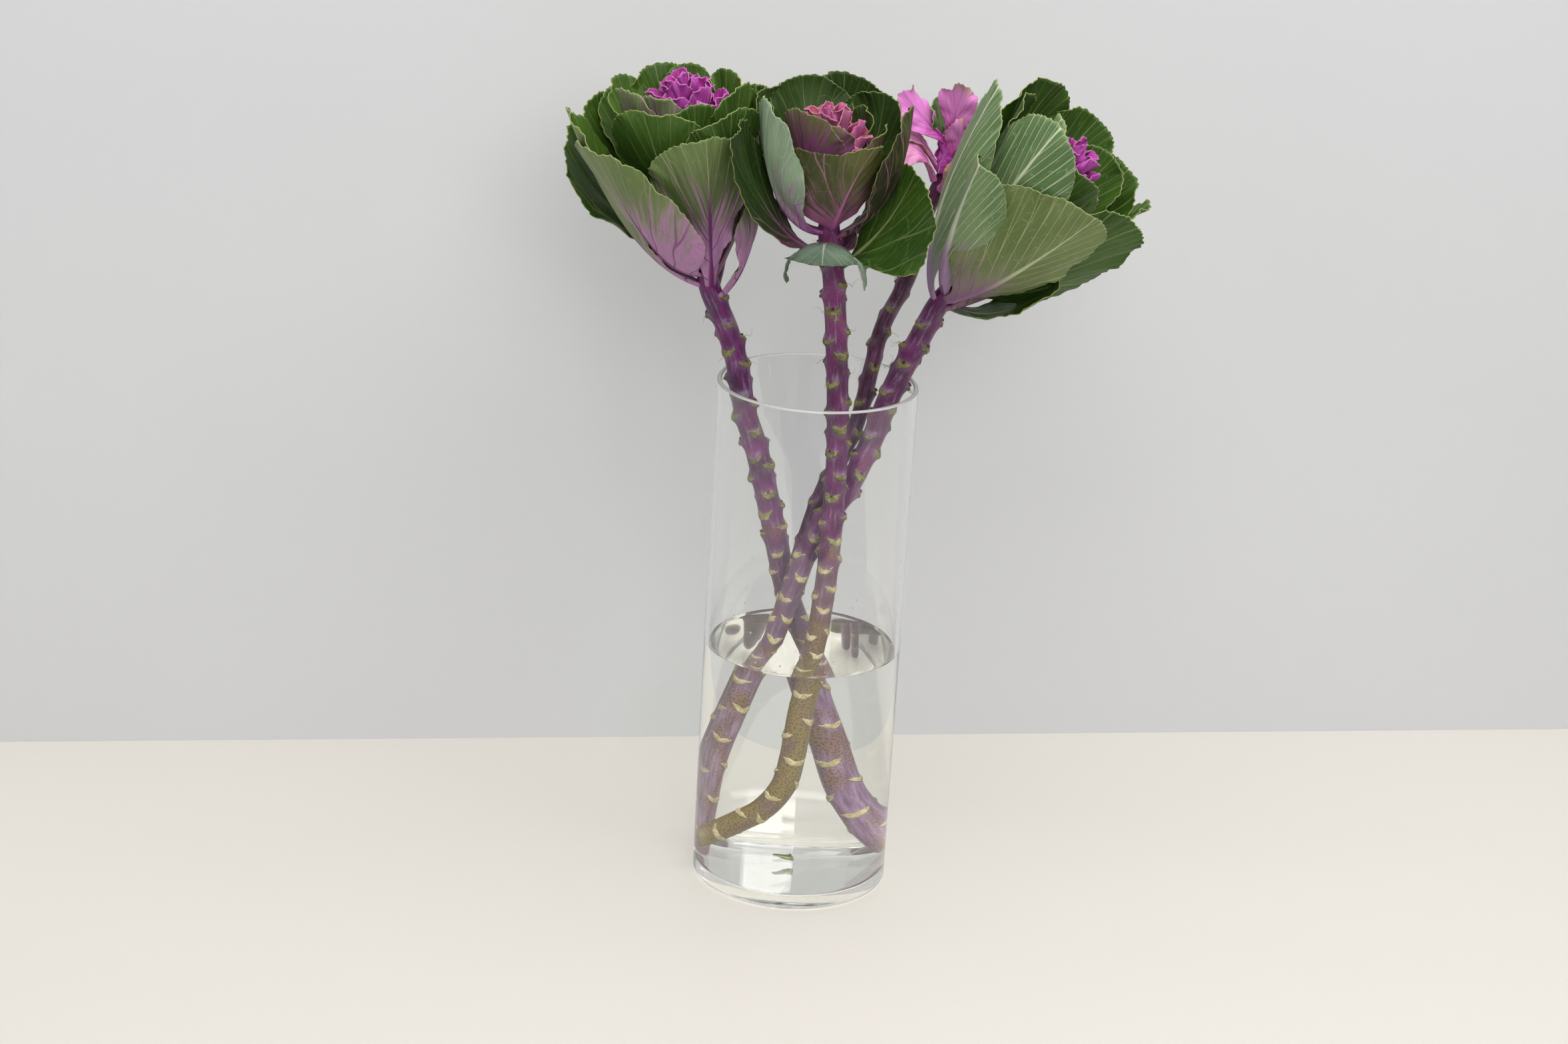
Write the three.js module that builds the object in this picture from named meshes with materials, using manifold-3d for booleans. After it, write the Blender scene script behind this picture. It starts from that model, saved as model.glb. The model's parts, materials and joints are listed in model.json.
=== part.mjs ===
// Ornamental kale in a glass cylinder vase.
// Four cut stems stand in a clear vase that is half full of water. Each stem carries a head
// of cupped leaves round a ruffled heart.
// Millimetres, +Z up. The origin is the centre of the vase's flat underside, and the side
// from which the arrangement is meant to be seen faces -Y.

import * as THREE from 'three';
import { mergeVertices } from 'three/addons/utils/BufferGeometryUtils.js';
import Module from 'manifold-3d';

const wasm = await Module();
wasm.setup();

// Vase and water
const VASE_RADIUS = 75;
const VASE_HEIGHT = 400;
const WALL = 3.5;
const BASE_THICKNESS = 10;
const RIM_ROUND = 1.2;
const FOOT_ROUND = 3;
const FLOOR_ROUND = 4;
const FLOOR_CHAMFER = 0.3;
const WATER_LEVEL = 190;
const ROUND_STEPS = 28;

// What touching pieces keep between them
const GAP = 0.3;

// Leaves
const BLADE_THICKNESS = 1.4;
const PETIOLE_THICKNESS = 4.5;
const PETIOLE_WIDTH = 9;
const PETIOLE_FADE = 0.4;
const CELLS_ACROSS = 5;
const CELLS_ALONG = 6;
const LEAF_ROOT_RADIUS = 4;
const SMALLEST_PIECE = 1;
const SLIVER = 0.005;
const BASE_BLUNTNESS = 8;
const BLADE_END = 0.9995;
const ROLL_FADE = 0.45;
const ARC_STEPS = 6;

// Stems and hearts
const STEM_SIDES = 8;
const STEPS_A_STRETCH = 1.5;
const CORE_STATIONS = [0.35, 0.7, 1];
const CORE_THINNING = 0.45;
const HEART_SIDES = 15;
const HEART_RINGS = 4;
const HEART_LOBES = 5;
const HEART_LOBE_DEPTH = 0.06;
const HEART_ARC = 80;
const HEART_BULGE = 0.6;

const RADIANS = Math.PI / 180;

// Colours seen on the pieces
const COLOURS = {
  glass: 0xe6eeec,
  water: 0xd9e4de,
  stem_purple: 0x6d2f63,
  leaf_green: 0x4b6a35,
  leaf_pink: 0xc983b4,
  heart_magenta: 0xb04a9c,
  heart_rose: 0xbb6a8c,
};

// Each stem runs from its cut end in the vase up to the foot of its head. The last number of
// a point is the stem's radius there.
const STEMS = {
  left: {
    route: [
      [51, 25, 16, 8.6], [43, 27, 27, 9], [35, 29, 41, 9], [24, 32, 69, 9], [14, 35, 113, 9],
      [5, 36, 150, 9], [-4, 36, 192, 9], [-14, 34, 220, 9], [-26, 23, 272, 9],
      [-43, 12, 340, 8.8], [-54, 8, 373, 8.6], [-60, 5, 405, 8.4], [-70, 5, 436, 8.2],
      [-84, 5, 466, 8],
    ],
    lean: [-112, -15, 624],
    core: 108,
  },
  middle: {
    route: [
      [-65.6, -14, 28, 7.4], [-53, -14, 35, 7.8], [-36, -18, 49, 8], [-17, -21, 67, 8],
      [-6, -22, 88, 8], [-2, -21, 110, 8], [2, -20, 151, 8], [10, -20, 200, 8],
      [15, -20, 250, 8], [17, -21, 305, 8], [17, -23, 355, 8], [13, -27, 419, 8],
      [6, -32, 490, 8], [1, -34, 523, 8],
    ],
    lean: [-2, -46, 600],
    core: 50,
  },
  back: {
    route: [
      [-46, 28, 10.7, 6], [-44, 26, 60, 6.5], [-36, 21, 120, 6.5], [-24, 17, 180, 6.5],
      [-12, 16, 230, 6.5], [-3, 16, 267, 6.3], [7, 18, 303, 6.2], [31, 30, 358, 6.2],
      [40, 38, 402, 6], [46, 42, 432, 6], [64, 48, 474, 5.8], [70, 52, 506, 5.6],
      [80, 56, 538, 5.4],
    ],
    lean: [100, 58, 600],
    core: 26,
  },
  right: {
    route: [
      [-53, 7, 10.9, 7.6], [-50, 6, 52, 8], [-46, 4, 94, 8], [-36, 0, 141, 8], [-21, 0, 197, 8],
      [-9, 0, 235, 8], [5, 0, 280, 8], [27, 3, 316, 8.2], [43, 5, 355, 8.4],
      [56, 7, 395, 8.4], [75, 9, 439, 8.4], [86, 10, 463, 8],
    ],
    lean: [180, -20, 590],
    core: 108,
  },
};

// A heart is a dome on the end of its stem: its radius, and its bottom and top above the
// head's foot.
const HEARTS = {
  left: { radius: 42, from: 112, to: 165, colour: 'heart_magenta' },
  middle: { radius: 25, from: 54, to: 92, colour: 'heart_rose' },
  back: { radius: 9, from: 30, to: 56, colour: 'leaf_pink' },
  right: { radius: 30, from: 112, to: 166, colour: 'heart_magenta' },
};

// The leaves of each head, from the lowest seat up. turn is the angle about the head's axis,
// from the right towards the back. seat is where the midrib leaves the core, and rise, reach
// and tip are the points that shape it: distance from the axis, height above the head's foot.
// cup, fold and roll are angles across the blade, and lean makes one side of it wider.
const LEAVES = {
  left: [
    {
      turn: 340, seat: -8, rise: [26, 10], reach: [46, 40], tip: [50, 78],
      width: 50, cup: 50, stalk: 0.35, full: 0.75,
    },
    {
      turn: 66, seat: -4, rise: [40, 30], reach: [76, 80], tip: [76, 130],
      width: 76, cup: 35, stalk: 0.2, full: 0.8,
    },
    {
      turn: 188, seat: 4, rise: [50, 28], reach: [70, 90], tip: [84, 153],
      width: 72, cup: 50,
    },
    {
      turn: 286, seat: 4, rise: [24, 36], reach: [56, 92], tip: [66, 138],
      width: 96, cup: 42, lean: -0.1, full: 0.9,
    },
    {
      turn: 108, seat: 4, rise: [44, 30], reach: [80, 84], tip: [84, 134],
      width: 76, cup: 35, stalk: 0.2, full: 0.8,
    },
    {
      turn: 220, seat: 14, rise: [40, 24], reach: [60, 78], tip: [87, 138],
      width: 112, cup: 48,
    },
    {
      turn: 12, seat: 10, rise: [36, 56], reach: [60, 110], tip: [60, 146],
      width: 62, full: 0.7,
    },
    {
      turn: 152, seat: 14, rise: [54, 22], reach: [90, 66], tip: [94, 126],
      width: 84, cup: 15, lean: 0.1, stalk: 0.1, full: 0.7,
    },
    {
      turn: 43, seat: 18, rise: [40, 44], reach: [62, 98], tip: [68, 138],
      width: 64, full: 0.7,
    },
    {
      turn: 305, seat: 20, rise: [34, 50], reach: [56, 112], tip: [68, 152],
      width: 84, cup: 45, full: 0.7,
    },
    {
      turn: 145, seat: 30, rise: [44, 44], reach: [80, 96], tip: [84, 142],
      width: 76, cup: 30,
    },
    {
      turn: 245, seat: 30, rise: [30, 60], reach: [46, 118], tip: [58, 158],
      width: 100, cup: 45, full: 0.7,
    },
    {
      turn: 112, seat: 34, rise: [34, 64], reach: [54, 118], tip: [60, 158],
      width: 72, cup: 45, full: 0.7,
    },
    {
      turn: 325, seat: 36, rise: [26, 70], reach: [46, 124], tip: [56, 163],
      width: 64, cup: 45, full: 0.7,
    },
  ],
  middle: [
    {
      turn: 350, seat: -28, rise: [26, -14], reach: [50, 14], tip: [62, 54],
      width: 84, cup: -8, roll: 40, lean: -0.2, stalk: 0.15,
    },
    {
      turn: 20, seat: -20, rise: [14, -16], reach: [22, -6], tip: [24, 10],
      width: 20, cup: 20,
    },
    {
      turn: 204, seat: -14, rise: [34, -8], reach: [66, 40], tip: [70, 96],
      width: 50, cup: 0, roll: -45, full: 0.8,
    },
    {
      turn: 262, seat: -7, rise: [16, 0], reach: [24, 2], tip: [30, -14],
      width: 104, cup: -105, full: 0.5,
    },
    {
      turn: 205, seat: 2, rise: [40, 8], reach: [56, 62], tip: [52, 110],
      width: 66, cup: 35, fold: 10,
    },
    {
      turn: 82, seat: 2, rise: [40, 16], reach: [64, 66], tip: [60, 100],
      width: 88,
    },
    {
      turn: 350, seat: -2, rise: [38, 14], reach: [62, 60], tip: [56, 100],
      width: 66, cup: 50,
    },
    {
      turn: 285, seat: 6, rise: [18, 14], reach: [38, 52], tip: [47, 84],
      width: 100, cup: 62, sway: 30, lean: -0.3, full: 0.75, blunt: 2.1,
    },
    {
      turn: 345, seat: 10, rise: [26, 24], reach: [36, 56], tip: [40, 86],
      width: 44, cup: 50,
    },
    {
      turn: 140, seat: 8, rise: [40, 24], reach: [58, 66], tip: [58, 98],
      width: 64, cup: 35,
    },
    {
      turn: 45, seat: 12, rise: [38, 26], reach: [54, 66], tip: [52, 94],
      width: 76,
    },
    {
      turn: 112, seat: 20, rise: [34, 34], reach: [54, 70], tip: [58, 100],
      width: 76, cup: 45,
    },
    {
      turn: 232, seat: 24, rise: [22, 44], reach: [32, 74], tip: [31, 102],
      width: 62, cup: 50,
    },
  ],
  back: [
    {
      turn: 200, seat: -14, rise: [16, 2], reach: [34, 10], tip: [50, 0],
      width: 30, cup: -20, stalk: 0.4, full: 0.7,
    },
    {
      turn: 300, seat: 2, rise: [16, 10], reach: [24, 22], tip: [22, 36],
      width: 26, cup: 30,
    },
    {
      turn: 205, seat: 6, rise: [20, 28], reach: [42, 32], tip: [56, 14],
      width: 44, cup: -20, roll: -30,
    },
    {
      turn: 186, seat: 16, rise: [20, 44], reach: [46, 46], tip: [56, 8],
      width: 30, cup: -30, roll: -20, stalk: 0.3,
    },
    {
      turn: 350, seat: 20, rise: [18, 30], reach: [34, 44], tip: [44, 54],
      width: 40, cup: 20, roll: -40,
    },
    {
      turn: 150, seat: 26, rise: [14, 40], reach: [22, 52], tip: [28, 62],
      width: 40, cup: 20,
    },
    {
      turn: 280, seat: 28, rise: [12, 34], reach: [18, 46], tip: [20, 62],
      width: 30, cup: 20,
    },
    {
      turn: 190, seat: 34, rise: [14, 40], reach: [30, 52], tip: [44, 63],
      width: 44, cup: -10, roll: -60,
    },
    {
      turn: 230, seat: 42, rise: [14, 46], reach: [22, 66], tip: [24, 82],
      width: 48, cup: -20,
    },
  ],
  right: [
    {
      turn: 335, seat: 0, rise: [24, 30], reach: [44, 92], tip: [66, 152],
      width: 76, cup: 20, roll: -50,
    },
    {
      turn: 190, seat: 2, rise: [38, 22], reach: [72, 90], tip: [86, 168],
      width: 84, cup: 36,
    },
    {
      turn: 286, seat: 8, rise: [30, 36], reach: [52, 96], tip: [64, 150],
      width: 104, cup: 35, lean: -0.35,
    },
    {
      turn: 350, seat: 4, rise: [34, 8], reach: [54, 40], tip: [54, 80],
      width: 50, cup: 20,
    },
    {
      turn: 42, seat: 8, rise: [44, 40], reach: [68, 110], tip: [72, 157],
      width: 80, cup: 30,
    },
    {
      turn: 222, seat: 12, rise: [34, 26], reach: [76, 84], tip: [98, 130],
      width: 70, fold: 30,
    },
    {
      turn: 119, seat: 14, rise: [40, 50], reach: [62, 120], tip: [66, 172],
      width: 84, cup: 30,
    },
    {
      turn: 232, seat: 22, rise: [34, 44], reach: [66, 120], tip: [74, 184],
      width: 88, cup: 45,
    },
    {
      turn: 15, seat: 24, rise: [34, 50], reach: [58, 104], tip: [76, 154],
      width: 64, cup: 20, roll: -30,
    },
    {
      turn: 78, seat: 26, rise: [40, 60], reach: [60, 124], tip: [64, 168],
      width: 76, cup: 30,
    },
    {
      turn: 152, seat: 30, rise: [34, 60], reach: [54, 120], tip: [56, 164],
      width: 50, cup: 30,
    },
    {
      turn: 50, seat: 40, rise: [36, 70], reach: [54, 120], tip: [58, 157],
      width: 70,
    },
    {
      turn: 266, seat: 56, rise: [30, 86], reach: [42, 126], tip: [46, 164],
      width: 66, cup: 50,
    },
  ],
};

// Anything a leaf doesn't state
const PLAIN_LEAF = {
  sway: 0, cup: 40, fold: 0, roll: 0, lean: 0, stalk: 0.05, full: 0.6, blunt: 2.5,
};

// Turns lists of points and triangles into one merged solid
function solidFrom(points, triangles) {
  const geometry = new THREE.BufferGeometry();
  geometry.setAttribute('position', new THREE.Float32BufferAttribute(points.flat(), 3));
  geometry.setIndex(triangles.flat());
  return solidOf(geometry);
}

function solidOf(geometry) {
  const bare = geometry.clone();
  bare.deleteAttribute('normal');
  bare.deleteAttribute('uv');
  const merged = mergeVertices(bare, 1e-4);
  const mesh = new wasm.Mesh({
    numProp: 3,
    vertProperties: new Float32Array(merged.attributes.position.array),
    triVerts: new Uint32Array(merged.index.array),
  });
  return new wasm.Manifold(mesh);
}

function geometryOf(solid) {
  const mesh = solid.getMesh();
  const geometry = new THREE.BufferGeometry();
  geometry.setAttribute('position', new THREE.BufferAttribute(mesh.vertProperties, 3));
  geometry.setIndex(new THREE.BufferAttribute(mesh.triVerts, 1));
  return geometry;
}

// Skins a row of equal rings, each a closed loop seen anticlockwise from its far end, and
// closes both ends with a fan
function skinRings(rings) {
  const sides = rings[0].length;
  const points = rings.flat();
  const triangles = [];
  for (let ring = 0; ring + 1 < rings.length; ring += 1) {
    for (let side = 0; side < sides; side += 1) {
      const next = (side + 1) % sides;
      const a = ring * sides + side;
      const b = ring * sides + next;
      triangles.push([a, b, b + sides], [a, b + sides, a + sides]);
    }
  }
  const middleOf = (ring) => {
    const sum = ring.reduce((total, p) => total.map((v, i) => v + p[i]), [0, 0, 0]);
    return sum.map((v) => v / sides);
  };
  const first = points.push(middleOf(rings[0])) - 1;
  const last = points.push(middleOf(rings[rings.length - 1])) - 1;
  const top = (rings.length - 1) * sides;
  for (let side = 0; side < sides; side += 1) {
    const next = (side + 1) % sides;
    triangles.push([first, next, side], [last, top + side, top + next]);
  }
  return solidFrom(points, triangles);
}

// Turns a profile of radius and height about the upright axis
function turned(profile) {
  return solidOf(new THREE.LatheGeometry(profile, ROUND_STEPS).rotateX(90 * RADIANS));
}

// Vase: a turned profile, from the axis out, up the wall, over the rim and down inside
function vaseSolid() {
  const inner = VASE_RADIUS - WALL;
  const corner = (r, z, radius, from, to, steps) => {
    const arc = [];
    for (let step = 0; step <= steps; step += 1) {
      const angle = (from + ((to - from) * step) / steps) * RADIANS;
      arc.push(new THREE.Vector2(r + radius * Math.cos(angle), z + radius * Math.sin(angle)));
    }
    return arc;
  };
  const profile = [
    new THREE.Vector2(0, 0),
    ...corner(VASE_RADIUS - FOOT_ROUND, FOOT_ROUND, FOOT_ROUND, -90, 0, 3),
    ...corner(VASE_RADIUS - RIM_ROUND, VASE_HEIGHT - RIM_ROUND, RIM_ROUND, 0, 90, 2),
    ...corner(inner + RIM_ROUND, VASE_HEIGHT - RIM_ROUND, RIM_ROUND, 90, 180, 2),
    ...corner(inner - FLOOR_ROUND, BASE_THICKNESS + FLOOR_ROUND, FLOOR_ROUND, 0, -90, 3),
    new THREE.Vector2(0, BASE_THICKNESS),
  ];
  return turned(profile);
}

// Water: fills the vase up to its level, clear of the glass
function waterSolid() {
  const radius = VASE_RADIUS - WALL - GAP;
  const floor = BASE_THICKNESS + GAP;
  const profile = [
    new THREE.Vector2(0, floor),
    new THREE.Vector2(radius - FLOOR_ROUND, floor),
    new THREE.Vector2(radius - FLOOR_ROUND * FLOOR_CHAMFER, floor + FLOOR_ROUND * FLOOR_CHAMFER),
    new THREE.Vector2(radius, floor + FLOOR_ROUND),
    new THREE.Vector2(radius, WATER_LEVEL),
    new THREE.Vector2(0, WATER_LEVEL),
  ];
  return turned(profile);
}

// The foot of a head and the three directions it is measured in: along its core, towards
// the right and towards the back
function headFrame(stem) {
  const [x, y, z] = stem.route[stem.route.length - 1];
  const foot = new THREE.Vector3(x, y, z);
  const along = new THREE.Vector3(...stem.lean).sub(foot).normalize();
  const right = new THREE.Vector3(1, 0, 0);
  right.addScaledVector(along, -right.dot(along)).normalize();
  const back = new THREE.Vector3().crossVectors(along, right);
  return { foot, along, right, back };
}

// Stem: rings along its route, then on through the head as a core that thins upwards
function stemSolid(stem, extra) {
  const { foot, along } = headFrame(stem);
  const stations = stem.route.map(([x, y, z, radius]) => [new THREE.Vector3(x, y, z), radius]);
  const footRadius = stations[stations.length - 1][1];
  for (const share of CORE_STATIONS) {
    const place = foot.clone().addScaledVector(along, stem.core * share);
    stations.push([place, footRadius * (1 - CORE_THINNING * share)]);
  }
  const curve = new THREE.CatmullRomCurve3(stations.map(([place]) => place), false, 'centripetal');
  const steps = Math.round((stations.length - 1) * STEPS_A_STRETCH);
  const rings = [];
  for (let step = 0; step <= steps; step += 1) {
    const t = step / steps;
    const centre = curve.getPoint(t);
    const ahead = curve.getTangent(t);
    if (step === 0) centre.addScaledVector(ahead, -extra);
    if (step === steps) centre.addScaledVector(ahead, extra);
    const across = new THREE.Vector3(0, 1, 0).cross(ahead).normalize();
    const over = new THREE.Vector3().crossVectors(ahead, across);
    const at = t * (stations.length - 1);
    const low = Math.min(Math.floor(at), stations.length - 2);
    const radius = THREE.MathUtils.lerp(stations[low][1], stations[low + 1][1], at - low) + extra;
    const ring = [];
    for (let side = 0; side < STEM_SIDES; side += 1) {
      const angle = (side / STEM_SIDES) * 2 * Math.PI;
      const point = centre.clone();
      point.addScaledVector(across, radius * Math.cos(angle));
      point.addScaledVector(over, radius * Math.sin(angle));
      ring.push(point.toArray());
    }
    rings.push(ring);
  }
  return skinRings(rings);
}

// Heart: a lobed dome round the head's axis
function heartSolid(stem, heart, extra) {
  const { foot, along, right, back } = headFrame(stem);
  const rings = [];
  for (let ring = 0; ring <= HEART_RINGS; ring += 1) {
    const share = ring / HEART_RINGS;
    const height = heart.from + (heart.to - heart.from) * Math.sin(share * HEART_ARC * RADIANS);
    const spread = (heart.radius + extra) * Math.cos(share * HEART_ARC * RADIANS) ** HEART_BULGE;
    const outline = [];
    for (let side = 0; side < HEART_SIDES; side += 1) {
      const angle = (side / HEART_SIDES) * 2 * Math.PI;
      const radius = spread * (1 + HEART_LOBE_DEPTH * Math.sin(HEART_LOBES * angle));
      const lift = height + (ring === 0 ? -extra : 0) + (ring === HEART_RINGS ? extra : 0);
      const point = foot.clone().addScaledVector(along, lift);
      point.addScaledVector(right, radius * Math.cos(angle));
      point.addScaledVector(back, radius * Math.sin(angle));
      outline.push(point.toArray());
    }
    rings.push(outline);
  }
  return skinRings(rings);
}

function ease(from, to, value) {
  return THREE.MathUtils.smoothstep(value, from, to);
}

// One point of a leaf's middle surface, with the directions there: normal out of the inner
// face, over towards one side and onward to the tip. The leaf's midrib is a curve in a plane
// through the head's axis: it leaves the core at its seat and swings by its turn about the
// axis. across and along run from -1 to 1 over a round blade.
function leafPoint(frame, leaf, across, along) {
  const { foot, along: axis, right, back } = frame;
  const t = (1 + along) / 2;
  const u = 1 - t;
  const knots = [[LEAF_ROOT_RADIUS, leaf.seat], leaf.rise, leaf.reach, leaf.tip];
  const bend = (k) => u ** 3 * knots[0][k] + 3 * u * u * t * knots[1][k]
    + 3 * u * t * t * knots[2][k] + t ** 3 * knots[3][k];
  const slope = (k) => 3 * u * u * (knots[1][k] - knots[0][k])
    + 6 * u * t * (knots[2][k] - knots[1][k]) + 3 * t * t * (knots[3][k] - knots[2][k]);
  const turn = (leaf.turn + leaf.sway * t * t) * RADIANS;
  const outward = right.clone().multiplyScalar(Math.cos(turn)).addScaledVector(back, Math.sin(turn));
  const sideways = new THREE.Vector3().crossVectors(axis, outward);
  const point = foot.clone().addScaledVector(outward, bend(0)).addScaledVector(axis, bend(1));
  const onward = outward.clone().multiplyScalar(slope(0)).addScaledVector(axis, slope(1));
  onward.addScaledVector(sideways, bend(0) * 2 * leaf.sway * t * RADIANS).normalize();
  const inward = outward.clone().multiplyScalar(-slope(1)).addScaledVector(axis, slope(0)).normalize();
  inward.addScaledVector(onward, -inward.dot(onward)).normalize();
  const side = new THREE.Vector3().crossVectors(inward, onward);

  // Width along the leaf: a narrow stalk that opens into the blade, blunt at both ends
  const half = leaf.width / 2;
  const stalk = PETIOLE_WIDTH / leaf.width;
  const opening = stalk + (1 - stalk) * ease(leaf.stalk, leaf.full, t);
  const end = Math.min(Math.abs(along), BLADE_END);
  const power = along < 0 ? BASE_BLUNTNESS : leaf.blunt;
  const blunt = (1 - end ** power) ** (1 / power) / Math.sqrt(1 - end * end);
  const signed = across * opening * blunt * (1 + leaf.lean * Math.sign(across));

  // Cross-section: an arc that starts at the fold and closes by the cup angle
  const reach = Math.abs(signed);
  let sideStep = 0;
  let inStep = 0;
  for (let step = 0; step < ARC_STEPS; step += 1) {
    const share = ((step + 0.5) / ARC_STEPS) * reach;
    const angle = (leaf.fold + leaf.cup * share) * RADIANS;
    sideStep += (Math.cos(angle) * reach) / ARC_STEPS;
    inStep += (Math.sin(angle) * reach) / ARC_STEPS;
  }
  const roll = leaf.roll * ease(0, ROLL_FADE, t) * RADIANS;
  const flat = side.clone().multiplyScalar(Math.cos(roll)).addScaledVector(inward, Math.sin(roll));
  const lift = inward.clone().multiplyScalar(Math.cos(roll)).addScaledVector(side, -Math.sin(roll));
  point.addScaledVector(flat, sideStep * Math.sign(signed) * half);
  point.addScaledVector(lift, inStep * half);

  const bank = (leaf.fold + leaf.cup * reach) * RADIANS;
  const climb = Math.sin(bank) * Math.sign(signed);
  const normal = lift.clone().multiplyScalar(Math.cos(bank)).addScaledVector(flat, -climb).normalize();
  const over = flat.multiplyScalar(Math.cos(bank)).addScaledVector(lift, climb).normalize();
  return { point, normal, over, onward, rib: 1 - reach / opening, t };
}

// Leaf: a grid over the blade, thickened to both sides, with the thicker stalk outside
function leafSolid(frame, leaf, extra) {
  const rows = [];
  for (let j = 0; j <= CELLS_ALONG; j += 1) {
    const row = [];
    for (let i = 0; i <= CELLS_ACROSS; i += 1) {
      const a = (2 * i) / CELLS_ACROSS - 1;
      const b = (2 * j) / CELLS_ALONG - 1;
      row.push(leafPoint(frame, leaf, a * Math.sqrt(1 - b * b / 2), b * Math.sqrt(1 - a * a / 2)));
    }
    rows.push(row);
  }
  const points = [];
  const span = CELLS_ACROSS + 1;
  for (const face of [1, -1]) {
    for (let j = 0; j <= CELLS_ALONG; j += 1) {
      for (let i = 0; i <= CELLS_ACROSS; i += 1) {
        const { point, normal, over, onward, rib, t } = rows[j][i];
        const stalk = (PETIOLE_THICKNESS - BLADE_THICKNESS) * (1 - ease(0, PETIOLE_FADE, t));
        const depth = BLADE_THICKNESS / 2 + (face < 0 ? stalk * Math.max(0, rib) : 0);
        const place = point.clone().addScaledVector(normal, face * (depth + extra));
        place.addScaledVector(over, ((i === CELLS_ACROSS) - (i === 0)) * extra);
        place.addScaledVector(onward, ((j === CELLS_ALONG) - (j === 0)) * extra);
        points.push(place.toArray());
      }
    }
  }
  const triangles = [];
  const back = span * (CELLS_ALONG + 1);
  const quad = (a, b, c, d) => triangles.push([a, b, c], [a, c, d]);
  for (let j = 0; j < CELLS_ALONG; j += 1) {
    for (let i = 0; i < CELLS_ACROSS; i += 1) {
      const k = j * span + i;
      quad(k, k + span, k + span + 1, k + 1);
      quad(back + k, back + k + 1, back + k + span + 1, back + k + span);
    }
  }
  for (let i = 0; i < CELLS_ACROSS; i += 1) {
    const top = CELLS_ALONG * span + i;
    quad(i, i + 1, back + i + 1, back + i);
    quad(top + 1, top, back + top, back + top + 1);
  }
  for (let j = 0; j < CELLS_ALONG; j += 1) {
    const left = j * span;
    const far = left + CELLS_ACROSS;
    quad(left + span, left, back + left, back + left + span);
    quad(far, far + span, back + far + span, back + far);
  }
  return solidFrom(points, triangles);
}

function boxesTouch(a, b) {
  const [p, q] = [a.boundingBox(), b.boundingBox()];
  return [0, 1, 2].every((k) => p.min[k] < q.max[k] && q.min[k] < p.max[k]);
}

// Cuts a solid clear of the pieces made before it, and keeps the part of it that is seated
// nearest a place. Each of those pieces has a room, which is the piece grown by the gap.
function clearOf(solid, made, place) {
  let clear = solid;
  for (const { room } of made) {
    if (boxesTouch(clear, room)) clear = clear.subtract(room);
  }

  // A room folds over itself where its piece bends sharply, and can leave a sliver uncovered
  for (const { piece } of made) {
    if (clear.intersect(piece).volume() > SLIVER) clear = clear.subtract(piece);
  }
  const distance = (part) => {
    const { vertProperties } = part.getMesh();
    let nearest = Infinity;
    for (let k = 0; k < vertProperties.length; k += 3) {
      nearest = Math.min(nearest, place.distanceTo(new THREE.Vector3(...vertProperties.slice(k, k + 3))));
    }
    return nearest;
  };
  const seated = (whole) => {
    const parts = whole.decompose().filter((part) => part.volume() > SMALLEST_PIECE);
    return parts.sort((a, b) => distance(a) - distance(b))[0];
  };

  // A bridge thinner than the rounding of its points can break when they are written out, so
  // the part is chosen again from its written points
  return seated(solidOf(geometryOf(seated(clear))));
}

const kale = new THREE.Group();
kale.name = 'kale_in_vase';

function add(name, solid, colour, look) {
  const material = new THREE.MeshStandardMaterial({ color: COLOURS[colour], metalness: 0, ...look });
  const mesh = new THREE.Mesh(geometryOf(solid), material);
  mesh.name = name;
  kale.add(mesh);
}

add('vase', vaseSolid(), 'glass', { roughness: 0.03, transparent: true, opacity: 0.3 });

const stems = [];
let water = waterSolid();
for (const [place, stem] of Object.entries(STEMS)) {
  const piece = stemSolid(stem, 0);
  const room = stemSolid(stem, GAP);
  add(`stem_${place}`, piece, 'stem_purple', { roughness: 0.6 });
  water = water.subtract(room);
  stems.push({ piece, room });
}
add('water', water, 'water', { roughness: 0.02, transparent: true, opacity: 0.5 });

const made = [...stems];
for (const [place, heart] of Object.entries(HEARTS)) {
  const stem = STEMS[place];
  const { foot, along } = headFrame(stem);
  const seat = foot.clone().addScaledVector(along, stem.core);
  const piece = clearOf(heartSolid(stem, heart, 0), stems, seat);
  add(`heart_${place}`, piece, heart.colour, { roughness: 0.5 });
  made.push({ piece, room: heartSolid(stem, heart, GAP) });
}

for (const [place, leaves] of Object.entries(LEAVES)) {
  const frame = headFrame(STEMS[place]);
  leaves.forEach((stated, index) => {
    const leaf = { ...PLAIN_LEAF, ...stated };
    const seat = frame.foot.clone().addScaledVector(frame.along, leaf.seat);
    const piece = clearOf(leafSolid(frame, leaf, 0), made, seat);
    const colour = place === 'back' ? 'leaf_pink' : 'leaf_green';
    add(`leaf_${place}_${String(index + 1).padStart(2, '0')}`, piece, colour, { roughness: 0.55 });
    made.push({ piece, room: leafSolid(frame, leaf, GAP) });
  });
}

export default kale;
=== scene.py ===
# %% [markdown]
# # Cut ornamental kale in a glass cylinder vase
# Four cut stems of ornamental kale stand in a clear glass vase, a little under half full of
# water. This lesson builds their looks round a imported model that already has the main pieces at
# their places and sizes. It goes from the plain to the involved: the glass, the water, the stems, then the
# leaves and the frilled hearts, and at the end the light and the camera.

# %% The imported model
import json
import math

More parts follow.
